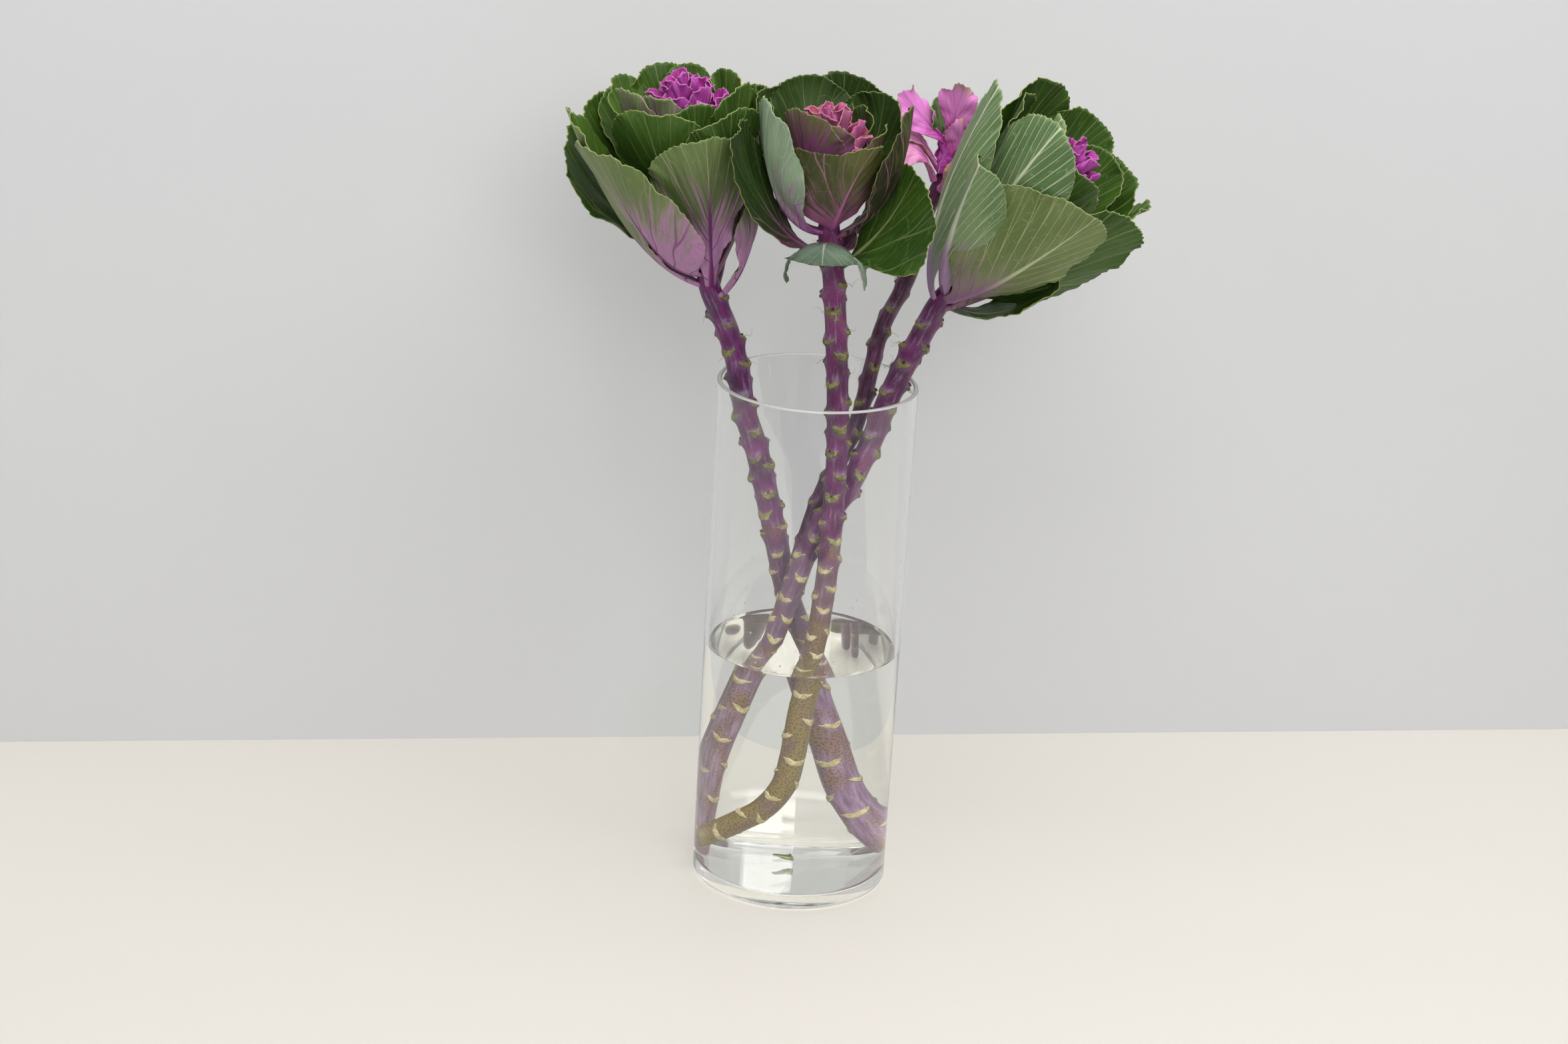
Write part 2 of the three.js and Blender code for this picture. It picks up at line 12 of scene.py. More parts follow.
import bpy
import numpy as np
from mathutils import Matrix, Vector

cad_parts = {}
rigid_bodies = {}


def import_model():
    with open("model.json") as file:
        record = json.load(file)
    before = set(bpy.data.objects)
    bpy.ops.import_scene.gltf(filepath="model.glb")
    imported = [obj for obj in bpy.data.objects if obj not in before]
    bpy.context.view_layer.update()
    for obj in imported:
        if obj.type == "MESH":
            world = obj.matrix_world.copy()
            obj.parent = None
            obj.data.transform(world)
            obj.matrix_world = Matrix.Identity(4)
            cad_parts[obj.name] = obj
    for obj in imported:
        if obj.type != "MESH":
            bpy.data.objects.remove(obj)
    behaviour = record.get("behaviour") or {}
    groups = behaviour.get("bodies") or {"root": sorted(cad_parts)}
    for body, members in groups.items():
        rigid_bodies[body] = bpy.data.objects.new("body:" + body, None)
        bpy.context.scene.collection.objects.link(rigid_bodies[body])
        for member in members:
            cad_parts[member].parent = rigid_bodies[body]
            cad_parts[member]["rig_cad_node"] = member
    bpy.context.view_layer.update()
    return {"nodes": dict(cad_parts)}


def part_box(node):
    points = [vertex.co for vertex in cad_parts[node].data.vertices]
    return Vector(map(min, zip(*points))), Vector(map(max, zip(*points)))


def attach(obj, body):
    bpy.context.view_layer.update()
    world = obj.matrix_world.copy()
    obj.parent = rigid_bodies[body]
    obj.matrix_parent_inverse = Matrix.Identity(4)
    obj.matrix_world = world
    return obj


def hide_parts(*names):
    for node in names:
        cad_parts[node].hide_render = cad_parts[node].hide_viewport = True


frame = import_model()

print("nodes to dress:", len(frame["nodes"]))

# %% [markdown]
# ## A few short tools
# The pieces are worked out in millimetres, which suit a plant, and turned into metres once, when
# the points go into a mesh. Every chance number comes from a seeded generator, so that each run
# of the script gives the same plant.

# %% Units, chance and small sums
MM = 0.001
chance = np.random.default_rng(2024)


def ease(low, high, value):
    """0 below low, 1 above high, and a smooth step between them."""
    share = np.clip((value - low) / (high - low), 0, 1)
    return share * share * (3 - 2 * share)


def unit(vectors):
    return vectors / np.linalg.norm(vectors, axis=-1, keepdims=True)


def waves(angle, count, seed):
    """A smooth chance wave round the margin, between about -1 and 1."""
    turns = np.array([1.0, 1.7, 2.3]) * count
    phase = np.random.default_rng(seed).uniform(0, 2 * math.pi, 3)
    parts = [math.sqrt(0.5) * np.sin(np.rint(k) * angle + p) for k, p in zip(turns, phase)]
    return sum(parts) / 1.3


def shade(code):
    """A colour as screens write it, such as "6f7f4e", in the linear values that shaders use."""
    parts = [int(code[k:k + 2], 16) / 255 for k in (0, 2, 4)]
    linear = [p / 12.92 if p <= 0.04045 else ((p + 0.055) / 1.055) ** 2.4 for p in parts]
    return (*linear, 1)


# %% [markdown]
# Every piece starts as one of Blender's own primitives. The imported nodes are still selected, so
# the first step is always to clear the selection: an edit or a modifier then acts on one piece.

# %% Starting a piece and moving its points
def start(add, name, **size):
    """Adds a primitive and gives it its name."""
    bpy.ops.object.select_all(action="DESELECT")
    add(**size)
    piece = bpy.context.active_object
    piece.name = name
    piece.data.name = name
    return piece


def points_of(piece):
    flat = np.zeros(len(piece.data.vertices) * 3)
    piece.data.vertices.foreach_get("co", flat)
    return flat.reshape(-1, 3)


def set_points(piece, points):
    """Moves the vertices of a piece to points given in millimetres."""
    piece.data.vertices.foreach_set("co", (points * MM).ravel())
    piece.data.update()


def write_map(piece, name, at):
    """Names the piece's map and lays each point at the two coordinates given for it."""
    layer = piece.data.uv_layers.active
    layer.name = name
    corner = np.zeros(len(piece.data.loops), int)
    piece.data.loops.foreach_get("vertex_index", corner)
    layer.data.foreach_set("uv", at[corner].ravel())


def mark(piece, name, values):
    """Keeps one number a vertex, for the shader to read."""
    layer = piece.data.attributes.new(name, "FLOAT", "POINT")
    layer.data.foreach_set("value", np.asarray(values, float))


# %% [markdown]
# Edit steps, modifiers and joining all act on what is selected, so each helper selects first.

# %% Editing, finishing and joining
def only(piece):
    bpy.ops.object.select_all(action="DESELECT")
    piece.select_set(True)
    bpy.context.view_layer.objects.active = piece


def edit(piece, *steps):
    """Runs edit-mode steps on the whole of a piece."""
    only(piece)
    bpy.ops.object.mode_set(mode="EDIT")
    bpy.ops.mesh.select_all(action="SELECT")
    for step in steps:
        step()
    bpy.ops.object.mode_set(mode="OBJECT")


def apply_all(piece):
    only(piece)
    for modifier in list(piece.modifiers):
        bpy.ops.object.modifier_apply(modifier=modifier.name)


def own_copy(pattern):
    """A copy with a mesh of its own."""
    copy = pattern.copy()
    copy.data = pattern.data.copy()
    bpy.context.collection.objects.link(copy)
    return copy


def join(pieces, name):
    """Makes one object out of several."""
    only(pieces[0])
    for piece in pieces:
        piece.select_set(True)
    bpy.ops.object.join()
    pieces[0].name = name
    pieces[0].data.name = name
    return pieces[0]


def seat(piece, slot, *nodes):
    """Hangs a finished piece on the root body and hides the nodes it stands for. The slot is not used."""
    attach(piece, "root")
    if nodes:
        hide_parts(*nodes)


# %% [markdown]
# Materials are built from nodes. Writing each link by hand is long, so this small class keeps one
# material's node tree and offers the few sums and patterns that the looks below are made of.

# %% A material under construction
class Look:
    def __init__(self, name):
        self.material = bpy.data.materials.new(name)
        self.material.use_nodes = True
        self.tree = self.material.node_tree
        self.surface = self.tree.nodes["Principled BSDF"]

    def node(self, kind, **settings):
        made = self.tree.nodes.new(kind)
        for key, value in settings.items():
            setattr(made, key, value)
        return made

    def put(self, socket, value):
        """Links an output to a socket, or writes a plain value in it."""
        if isinstance(value, bpy.types.NodeSocket):
            self.tree.links.new(value, socket)
        else:
            socket.default_value = value

    def sum(self, operation, *values):
        made = self.node("ShaderNodeMath", operation=operation)
        for socket, value in zip(made.inputs, values):
            self.put(socket, value)
        return made.outputs[0]

    def step(self, value, low, high):
        """A smooth step of a value from 0 at low to 1 at high."""
        made = self.node("ShaderNodeMapRange", interpolation_type="SMOOTHSTEP")
        self.put(made.inputs["Value"], value)
        self.put(made.inputs["From Min"], low)
        self.put(made.inputs["From Max"], high)
        return made.outputs[0]

    def clamp(self, value):
        """Keeps a number between 0 and 1."""
        made = self.node("ShaderNodeClamp")
        self.put(made.inputs[0], value)
        return made.outputs[0]

    def between(self, share, low, high):
        """A straight blend of two numbers."""
        made = self.node("ShaderNodeMix", data_type="FLOAT")
        for socket, value in zip(made.inputs[:1] + made.inputs[2:4], (share, low, high)):
            self.put(socket, value)
        return made.outputs[0]

    def blend(self, share, low, high):
        """A blend of two colours."""
        made = self.node("ShaderNodeMix", data_type="RGBA")
        self.put(made.inputs[0], share)
        self.put(made.inputs[6], low)
        self.put(made.inputs[7], high)
        return made.outputs[2]

    def read(self, name):
        return self.node("ShaderNodeAttribute", attribute_name=name).outputs["Fac"]

    def uv(self, name):
        """The two coordinates of a UV map as plain numbers, and as a vector."""
        vector = self.node("ShaderNodeUVMap", uv_map=name).outputs[0]
        split = self.node("ShaderNodeSeparateXYZ")
        self.put(split.inputs[0], vector)
        return split.outputs[0], split.outputs[1], vector

    def place(self):
        """Object coordinates: metres from the centre of the vase's underside."""
        return self.node("ShaderNodeTexCoord").outputs["Object"]

    def vector(self, *values):
        made = self.node("ShaderNodeCombineXYZ")
        for socket, value in zip(made.inputs, values):
            self.put(socket, value)
        return made.outputs[0]

    def scaled(self, vector, *scale):
        made = self.node("ShaderNodeVectorMath", operation="MULTIPLY")
        self.put(made.inputs[0], vector)
        made.inputs[1].default_value = scale
        return made.outputs[0]

    def noise(self, where, scale, detail=2, roughness=0.5, flat=False):
        made = self.node("ShaderNodeTexNoise", noise_dimensions="2D" if flat else "3D")
        self.put(made.inputs["Vector"], where)
        made.inputs["Scale"].default_value = scale
        made.inputs["Detail"].default_value = detail
        made.inputs["Roughness"].default_value = roughness
        return made.outputs["Fac"]

    def cells(self, where, scale, feature="DISTANCE_TO_EDGE", flat=False):
        made = self.node("ShaderNodeTexVoronoi", feature=feature,
                         voronoi_dimensions="2D" if flat else "3D")
        self.put(made.inputs["Vector"], where)
        made.inputs["Scale"].default_value = scale
        return made.outputs["Distance"]

    def relief(self, height, distance, strength=1.0):
        made = self.node("ShaderNodeBump")
        self.put(made.inputs["Height"], height)
        made.inputs["Distance"].default_value = distance
        made.inputs["Strength"].default_value = strength
        self.put(self.surface.inputs["Normal"], made.outputs[0])

    def set(self, **values):
        for key, value in values.items():
            socket = key.replace("_", " ").title().replace("Ior", "IOR")
            self.put(self.surface.inputs[socket], value)


# %% [markdown]
# ## The vase
# A drawn glass cylinder with one wall thickness, a thick flat bottom and edges melted round. The
# thickness of its wall and bottom is an estimate. A
# profile could be spun about the axis. Here a cylinder is hollowed instead, because inset and
# extrude show directly what a cylinder vase is: its top face is drawn in by the wall's thickness
# and pushed down to the floor. Bevels then round the rim, the foot and the floor's edge.

# %% Hollowing the cylinder
low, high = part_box("vase")
RADIUS = high.x / MM
HEIGHT = high.z / MM
WALL = 3.5
FLOOR = 10
ROUND_SIDES = 160
LEVEL_ENOUGH = 0.9

vase = start(bpy.ops.mesh.primitive_cylinder_add, "glass_vase", vertices=ROUND_SIDES,
             radius=RADIUS * MM, depth=HEIGHT * MM, location=(0, 0, HEIGHT / 2 * MM))
bpy.ops.object.transform_apply(location=True)

# %% [markdown]
# The next steps act on a few faces or edges only. These helpers select them by height and radius,
# and run a step on what is selected.

# %% Selecting faces and edges by their place
def faces_at(piece, height):
    """Selects the level faces of a piece at one height, in object mode."""
    for face in piece.data.polygons:
        face.select = abs(face.normal.z) > LEVEL_ENOUGH and abs(face.center.z - height * MM) < 1e-5


def rings_at(piece, rings):
    """Selects the round edges at given radii and heights, in object mode."""
    points = points_of(piece) / MM
    for edge in piece.data.edges:
        a, b = (points[k] for k in edge.vertices)
        edge.select = any(
            abs(p[2] - z) < 0.01 and abs(q[2] - z) < 0.01
            and abs(math.hypot(p[0], p[1]) - r) < 0.01
            for r, z in rings for p, q in ((a, b),)
        )


def with_selection(piece, mode, step):
    """Runs one edit-mode step on what is already selected."""
    only(piece)
    kinds = ("VERT", "EDGE", "FACE")
    bpy.context.tool_settings.mesh_select_mode = [mode == kind for kind in kinds]
    bpy.ops.object.mode_set(mode="EDIT")
    step()
    bpy.ops.object.mode_set(mode="OBJECT")


# %% Drawing in the top face and pushing it down
edit(vase, lambda: bpy.ops.mesh.select_all(action="DESELECT"))
faces_at(vase, HEIGHT)
with_selection(vase, "FACE", lambda: bpy.ops.mesh.inset(thickness=WALL * MM))
with_selection(vase, "FACE", lambda: bpy.ops.mesh.extrude_region_move(
    TRANSFORM_OT_translate={"value": (0, 0, (FLOOR - HEIGHT) * MM)}))

# %% Rounding its edges
RIM_ROUND, FOOT_ROUND, CORNER_ROUND = 1.4, 4, 5
LARGE_FACES_LEAD = 100
for ring, size, segments in (
    ([(RADIUS, HEIGHT), (RADIUS - WALL, HEIGHT)], RIM_ROUND, 5),
    ([(RADIUS, 0)], FOOT_ROUND, 6),
    ([(RADIUS - WALL, FLOOR)], CORNER_ROUND, 6),
):
    edit(vase, lambda: bpy.ops.mesh.select_all(action="DESELECT"))
    rings_at(vase, ring)
    with_selection(vase, "EDGE", lambda: bpy.ops.mesh.bevel(offset=size * MM, segments=segments))
edit(vase, lambda: bpy.ops.mesh.normals_make_consistent(inside=False))


def smooth_flat_sides(piece, angle):
    """Smooth shading that leaves the long wall faces straight and bends only the small round ones."""
    only(piece)
    bpy.ops.object.shade_smooth_by_angle(angle=math.radians(angle))
    piece.modifiers.new("straight walls", "WEIGHTED_NORMAL").weight = LARGE_FACES_LEAD
    apply_all(piece)


smooth_flat_sides(vase, 40)
print("vase faces:", len(vase.data.polygons))

# %% [markdown]
# Clear glass bends light, so its shader passes nearly everything on. A renderer that traces such
# light through a closed vase would leave a hard dark shadow, so for shadow rays the glass counts
# as almost clear. The faint waviness of drawn glass is a very low relief.

# %% Clear glass
DRAWN_STRETCH = 0.35
GLASS_IOR, WATER_IOR = 1.5, 1.333


def clear_look(name, tint, ior, ripple, ripple_height, shadow):
    look = Look(name)
    drawn = look.noise(look.scaled(look.place(), 1, 1, DRAWN_STRETCH), ripple, 0)
    look.relief(drawn, ripple_height * MM)
    look.set(base_color=look.blend(drawn, shade(tint[0]), shade(tint[1])),
             roughness=0.0, ior=ior, transmission_weight=1.0)
    path = look.node("ShaderNodeLightPath").outputs["Is Shadow Ray"]
    through = look.node("ShaderNodeBsdfTransparent")
    look.put(through.inputs[0], shade(shadow))
    choice = look.node("ShaderNodeMixShader")
    look.put(choice.inputs[0], path)
    look.put(choice.inputs[1], look.surface.outputs[0])
    look.put(choice.inputs[2], through.outputs[0])
    look.put(look.tree.nodes["Material Output"].inputs[0], choice.outputs[0])
    return look.material


vase.data.materials.append(clear_look("clear glass", ("fefefe", "fdfefe"), GLASS_IOR, 18, 0.06,
                                      "fbfcfc"))

# %% [markdown]
# The rim was cut and melted. It scatters light a little, so it shows as a white line all round.

# %% The rim's look
RIM_DEPTH = 1.6
rim_glass = Look("scattering rim glass")
cloud = rim_glass.noise(rim_glass.place(), 160, 2)
rim_glass.set(base_color=rim_glass.blend(cloud, shade("f6f6f4"), shade("fbfbfa")), ior=GLASS_IOR,
              roughness=rim_glass.between(cloud, 0.3, 0.45), transmission_weight=0.6)
vase.data.materials.append(rim_glass.material)
for face in vase.data.polygons:
    if face.center.z > (HEIGHT - RIM_DEPTH) * MM:
        face.material_index = 1
seat(vase, "glass", "vase")

# %% [markdown]
# ## The water
# The water fills the vase from its floor to its level, and creeps a little up the glass all round.
# It is a cylinder too. Its wall goes a hair into the glass, so that no film of air is left between
# them, which would mirror like silver.

# %% A body of water
WATER_LEVEL = 190
INTO_GLASS = 0.05
CREEP = 1.6
CREEP_REACH = 2.2
SURFACE_STEPS = (3, 3, 4, 6, 12, 16)

inner = RADIUS - WALL
water = start(bpy.ops.mesh.primitive_cylinder_add, "water_body", vertices=ROUND_SIDES,
              radius=(inner + INTO_GLASS) * MM, depth=(WATER_LEVEL - FLOOR + INTO_GLASS) * MM,
              location=(0, 0, (WATER_LEVEL + FLOOR - INTO_GLASS) / 2 * MM))
bpy.ops.object.transform_apply(location=True)
edit(water, lambda: bpy.ops.mesh.select_all(action="DESELECT"))
faces_at(water, WATER_LEVEL)
for step in SURFACE_STEPS:
    with_selection(water, "FACE", lambda: bpy.ops.mesh.inset(thickness=step * MM))
edit(water, lambda: bpy.ops.mesh.select_all(action="DESELECT"))
rings_at(water, [(inner + INTO_GLASS, FLOOR - INTO_GLASS)])
with_selection(water, "EDGE", lambda: bpy.ops.mesh.bevel(offset=CORNER_ROUND * MM, segments=6))

points = points_of(water) / MM
from_wall = inner - np.hypot(points[:, 0], points[:, 1])
on_top = np.abs(points[:, 2] - WATER_LEVEL) < 0.01
points[:, 2] += np.where(on_top, CREEP * np.exp(-np.maximum(from_wall, 0) / CREEP_REACH), 0)
set_points(water, points)
edit(water, lambda: bpy.ops.mesh.normals_make_consistent(inside=False))
smooth_flat_sides(water, 50)
water.data.materials.append(clear_look("clear water", ("fdfefb", "fefefc"), WATER_IOR, 60, 0.05,
                                       "fcfcfa"))
seat(water, "water", "water")
print("water stands", WATER_LEVEL, "mm high")

# %% [markdown]
# ## The stems
# A kale stem is a thick round stalk. Its points below are places along its middle, each with the
# stalk's radius there, from the cut end in the water up to the foot of the head. The places were
# worked out from the stem's course in the photograph, as the camera of the last chapter sees it,
# with an estimated depth, then rounded. A smooth curve goes through them and on up through the
# head as a core, which carries the leaves. After them stand the point that the core leans towards
# and the core's length.

# %% The routes
STEMS = {
    "left": ([
        (51, 25, 16, 8.6), (43, 27, 27, 9), (35, 29, 41, 9), (24, 32, 69, 9), (14, 35, 113, 9),
        (5, 36, 150, 9), (-4, 36, 192, 9), (-14, 34, 220, 9), (-26, 23, 272, 9),
        (-43, 12, 340, 8.8), (-54, 8, 373, 8.6), (-60, 5, 405, 8.4), (-70, 5, 436, 8.2),
        (-84, 5, 466, 8)], (-112, -15, 624), 108),
    "middle": ([
        (-65.6, -14, 28, 7.4), (-53, -14, 35, 7.8), (-36, -18, 49, 8), (-17, -21, 67, 8),
        (-6, -22, 88, 8), (-2, -21, 110, 8), (2, -20, 151, 8), (10, -20, 200, 8),
        (15, -20, 250, 8), (17, -21, 305, 8), (17, -23, 355, 8), (13, -27, 419, 8),
        (6, -32, 490, 8), (1, -34, 523, 8)], (-2, -46, 600), 50),
    "back": ([
        (-46, 28, 10.7, 6), (-44, 26, 60, 6.5), (-36, 21, 120, 6.5), (-24, 17, 180, 6.5),
        (-12, 16, 230, 6.5), (-3, 16, 267, 6.3), (7, 18, 303, 6.2), (31, 30, 358, 6.2),
        (40, 38, 402, 6), (46, 42, 432, 6), (64, 48, 474, 5.8), (70, 52, 506, 5.6),
        (80, 56, 538, 5.4)], (100, 58, 600), 26),
    "right": ([
        (-53, 7, 10.9, 7.6), (-50, 6, 52, 8), (-46, 4, 94, 8), (-36, 0, 141, 8), (-21, 0, 197, 8),
        (-9, 0, 235, 8), (5, 0, 280, 8), (27, 3, 316, 8.2), (43, 5, 355, 8.4),
        (56, 7, 395, 8.4), (75, 9, 439, 8.4), (86, 10, 463, 8)], (180, -20, 590), 108),
}
CORE_STATIONS = (0.35, 0.7, 1)
CORE_THINNING = 0.45


def head_frame(place):
    """The foot of a head, the direction of its core, and its right and back."""
    route, lean, _ = STEMS[place]
    foot = np.array(route[-1][:3], float)
    along = unit(np.array(lean, float) - foot)
    right = unit(np.array([1.0, 0, 0]) - along * along[0])
    return foot, along, right, np.cross(along, right)


def stations(place):
    """The points and radii of a stem, with its core."""
    route, _, core = STEMS[place]
    foot, along, _, _ = head_frame(place)
    rows = [list(row) for row in route]
    for share in CORE_STATIONS:
        rows.append([*(foot + along * core * share), route[-1][3] * (1 - CORE_THINNING * share)])
    return np.array(rows, float)


# %% [markdown]
# The curve through the points is a Catmull-Rom curve whose pace follows the root of each
# stretch's length, which keeps it from looping or overshooting where points are close together.

# %% A smooth curve through points
def smooth_curve(rows, steps):
    """Places along the curve, the direction at each, and the radius there."""
    knots = rows[:, :3]
    knots = np.vstack([2 * knots[0] - knots[1], knots, 2 * knots[-1] - knots[-2]])
    at = np.linspace(0, len(rows) - 1, steps)
    low = np.minimum(at.astype(int), len(rows) - 2)
    w = (at - low)[:, None]
    p0, p1, p2, p3 = (knots[low + k] for k in range(4))
    d0, d1, d2 = (np.sqrt(np.linalg.norm(b - a, axis=1, keepdims=True))
                  for a, b in ((p0, p1), (p1, p2), (p2, p3)))
    t1 = ((p1 - p0) / d0 - (p2 - p0) / (d0 + d1) + (p2 - p1) / d1) * d1
    t2 = ((p2 - p1) / d1 - (p3 - p1) / (d1 + d2) + (p3 - p2) / d2) * d1
    bend = -3 * p1 + 3 * p2 - 2 * t1 - t2
    twist = 2 * p1 - 2 * p2 + t1 + t2
    place = p1 + w * (t1 + w * (bend + w * twist))
    ahead = unit(t1 + w * (2 * bend + 3 * w * twist))
    radius = rows[low, 3] + (rows[low + 1, 3] - rows[low, 3]) * w[:, 0]
    return place, ahead, radius


# %% [markdown]
# Each leaf that the grower stripped off has left a scar: a hooked ledge in the upper part of the
# stem, and a wide flush band lower down. The scars climb in a spiral of 137.5 degrees, as leaves
# do. The ledge's swelling is part of the stalk's own surface. Its corky face is a small winged
# cushion that slopes from the ledge's lip up to the stem, often with a bud above its notch.

# %% Where the scars sit
SPIRAL = math.radians(137.5)
SCARS = {
    # place: first distance along, spacing, first angle, ledge height low down and high up
    "left": (16, 6.5, 0.3, 0.6, 3.7),
    "middle": (14, 7.0, 2.2, 0.5, 3.1),
    "back": (20, 10, 1.1, 0.4, 2.4),
    "right": (18, 7.0, 4.0, 0.6, 3.5),
}
LEDGE_FROM, LEDGE_TO = 190, 330
LOW_SPACING = 1.5
BARE_FOOT = 6
SCAR_SHIFT, SCAR_TURN = 2, 0.25


def scar_list(place, length, foot_length, heights):
    """Distance along the stem, angle and ledge height of each scar."""
    first, spacing, angle, low, high = SCARS[place]
    found = []
    at = first
    while at < foot_length - BARE_FOOT:
        level = np.interp(at, length, heights)
        ledge = low + (high - low) * float(ease(LEDGE_FROM, LEDGE_TO, level))
        found.append((at + chance.uniform(-SCAR_SHIFT, SCAR_SHIFT),
                      angle + chance.uniform(-SCAR_TURN, SCAR_TURN), ledge))
        at += spacing * (LOW_SPACING if level < LEDGE_FROM else 1)
        angle += SPIRAL
    return found


# %% [markdown]
# A stem is a grid wrapped into a tube: its columns go round and its rows go along. The two edges
# that meet are merged, and the ends are filled. A spun or swept curve would do for a plain tube,
# but here the points also have to swell at each scar and run in faint ridges.

# %% Wrapping a grid into a tube
def turn_frames(ahead):
    """Two directions across the stem at every step: across and over."""
    across = unit(np.cross(np.array([0.0, 1, 0]), ahead))
    return across, np.cross(ahead, across)


def tube_grid(name, sides, steps):
    """A grid to wrap into a tube, with each point's row and its angle round the tube."""
    piece = start(bpy.ops.mesh.primitive_grid_add, name, x_subdivisions=sides, y_subdivisions=steps,
                  size=2)
    grid = points_of(piece)
    return piece, np.rint((grid[:, 1] + 1) / 2 * steps).astype(int), (grid[:, 0] + 1) * math.pi


def out_of_tube(row, angle, across, over):
    return across[row] * np.cos(angle)[:, None] + over[row] * np.sin(angle)[:, None]


def close_tube(piece, sides):
    """Merges the edges that meet, fills the ends and turns the faces outward."""
    edit(piece, lambda: bpy.ops.mesh.remove_doubles(threshold=1e-6),
         lambda: bpy.ops.mesh.select_all(action="DESELECT"),
         lambda: bpy.ops.mesh.select_non_manifold(),
         lambda: bpy.ops.mesh.fill_holes(sides=sides),
         lambda: bpy.ops.mesh.select_all(action="SELECT"),
         lambda: bpy.ops.mesh.normals_make_consistent(inside=False))


# %% [markdown]
# The stem starts out with the curve's radius. To that come faint ridges, and at each scar a ledge
# that swells slowly from below and ends sharply above. The cut end is rounded a little.

# %% Making one stem
STEM_SIDES = 34
STEM_STEP = 1.4
LEDGE_SHARE = 0.8
LEDGE_WIDTH = 6.6
LEDGE_BELOW, LEDGE_ABOVE = 5.5, 1.7
LEDGE_CURVE = 0.07
FAINT_RIDGE, FINE_RIDGE = 0.12, 0.06
NEAR_WIDTH, NEAR_LENGTH = 6.5, 4
CUT_END, CUT_ROUND = 0.86, 2.5
MAP_LENGTH = 100


def make_stem(place):
    rows = stations(place)
    rough, _, _ = smooth_curve(rows, 400)
    whole = np.linalg.norm(np.diff(rough, axis=0), axis=1).sum()
    steps = int(whole / STEM_STEP)
    middle, ahead, radius = smooth_curve(rows, steps + 1)
    length = np.concatenate([[0], np.cumsum(np.linalg.norm(np.diff(middle, axis=0), axis=1))])
    foot = head_frame(place)[0]
    foot_length = length[np.argmin(np.linalg.norm(middle - foot, axis=1))]
    scars = scar_list(place, length, foot_length, middle[:, 2])

    piece, row, angle = tube_grid(f"stem_{place}_skin", STEM_SIDES, steps)
    across, over = turn_frames(ahead)
    out = out_of_tube(row, angle, across, over)

    ridge = (FAINT_RIDGE * np.sin(5 * angle + length[row] / 60)
             + FINE_RIDGE * np.sin(9 * angle + 2))
    swell = np.zeros(len(row))
    near = np.zeros(len(row))
    for at, where, ledge in scars:
        beside = ((angle - where + math.pi) % (2 * math.pi) - math.pi) * radius[row]
        above = length[row] - at - LEDGE_CURVE * beside ** 2
        reach = np.clip(1 - (beside / LEDGE_WIDTH) ** 2, 0, 1)
        fall = np.where(above < 0, LEDGE_BELOW, LEDGE_ABOVE)
        rise = np.exp(-(above / fall) ** 2)
        swell = np.maximum(swell, LEDGE_SHARE * ledge * reach * rise)
        near = np.maximum(near, np.exp(-(beside / NEAR_WIDTH) ** 2
                                       - ((above + 0.5) / NEAR_LENGTH) ** 2))
    mark(piece, "near", near)
    end = np.sqrt(np.minimum(length[row] / CUT_ROUND, 1))
    reach = radius[row] * (CUT_END + (1 - CUT_END) * end) + (ridge + swell) * end
    set_points(piece, middle[row] + out * reach[:, None])

    write_map(piece, "skin", np.stack([angle / (2 * math.pi), length[row] / MAP_LENGTH], 1))
    close_tube(piece, STEM_SIDES)
    bpy.ops.object.shade_smooth()
    return piece, scars, (middle, ahead, radius, length, across, over)


# %% [markdown]
# The skin is purple with a whitish bloom that lies in streaks along the stem. Towards the water
# the purple turns greyer, and below it brown specks and olive stains come in. All of this depends
# on height and on the stem's own map, so it stays with the stem. The heights below are in
# millimetres, each a pair: where a change starts and where it is whole.

# %% Stem skin
GREYING, SOAKING, STAINING = (345, 190), (200, 150), (330, 130)


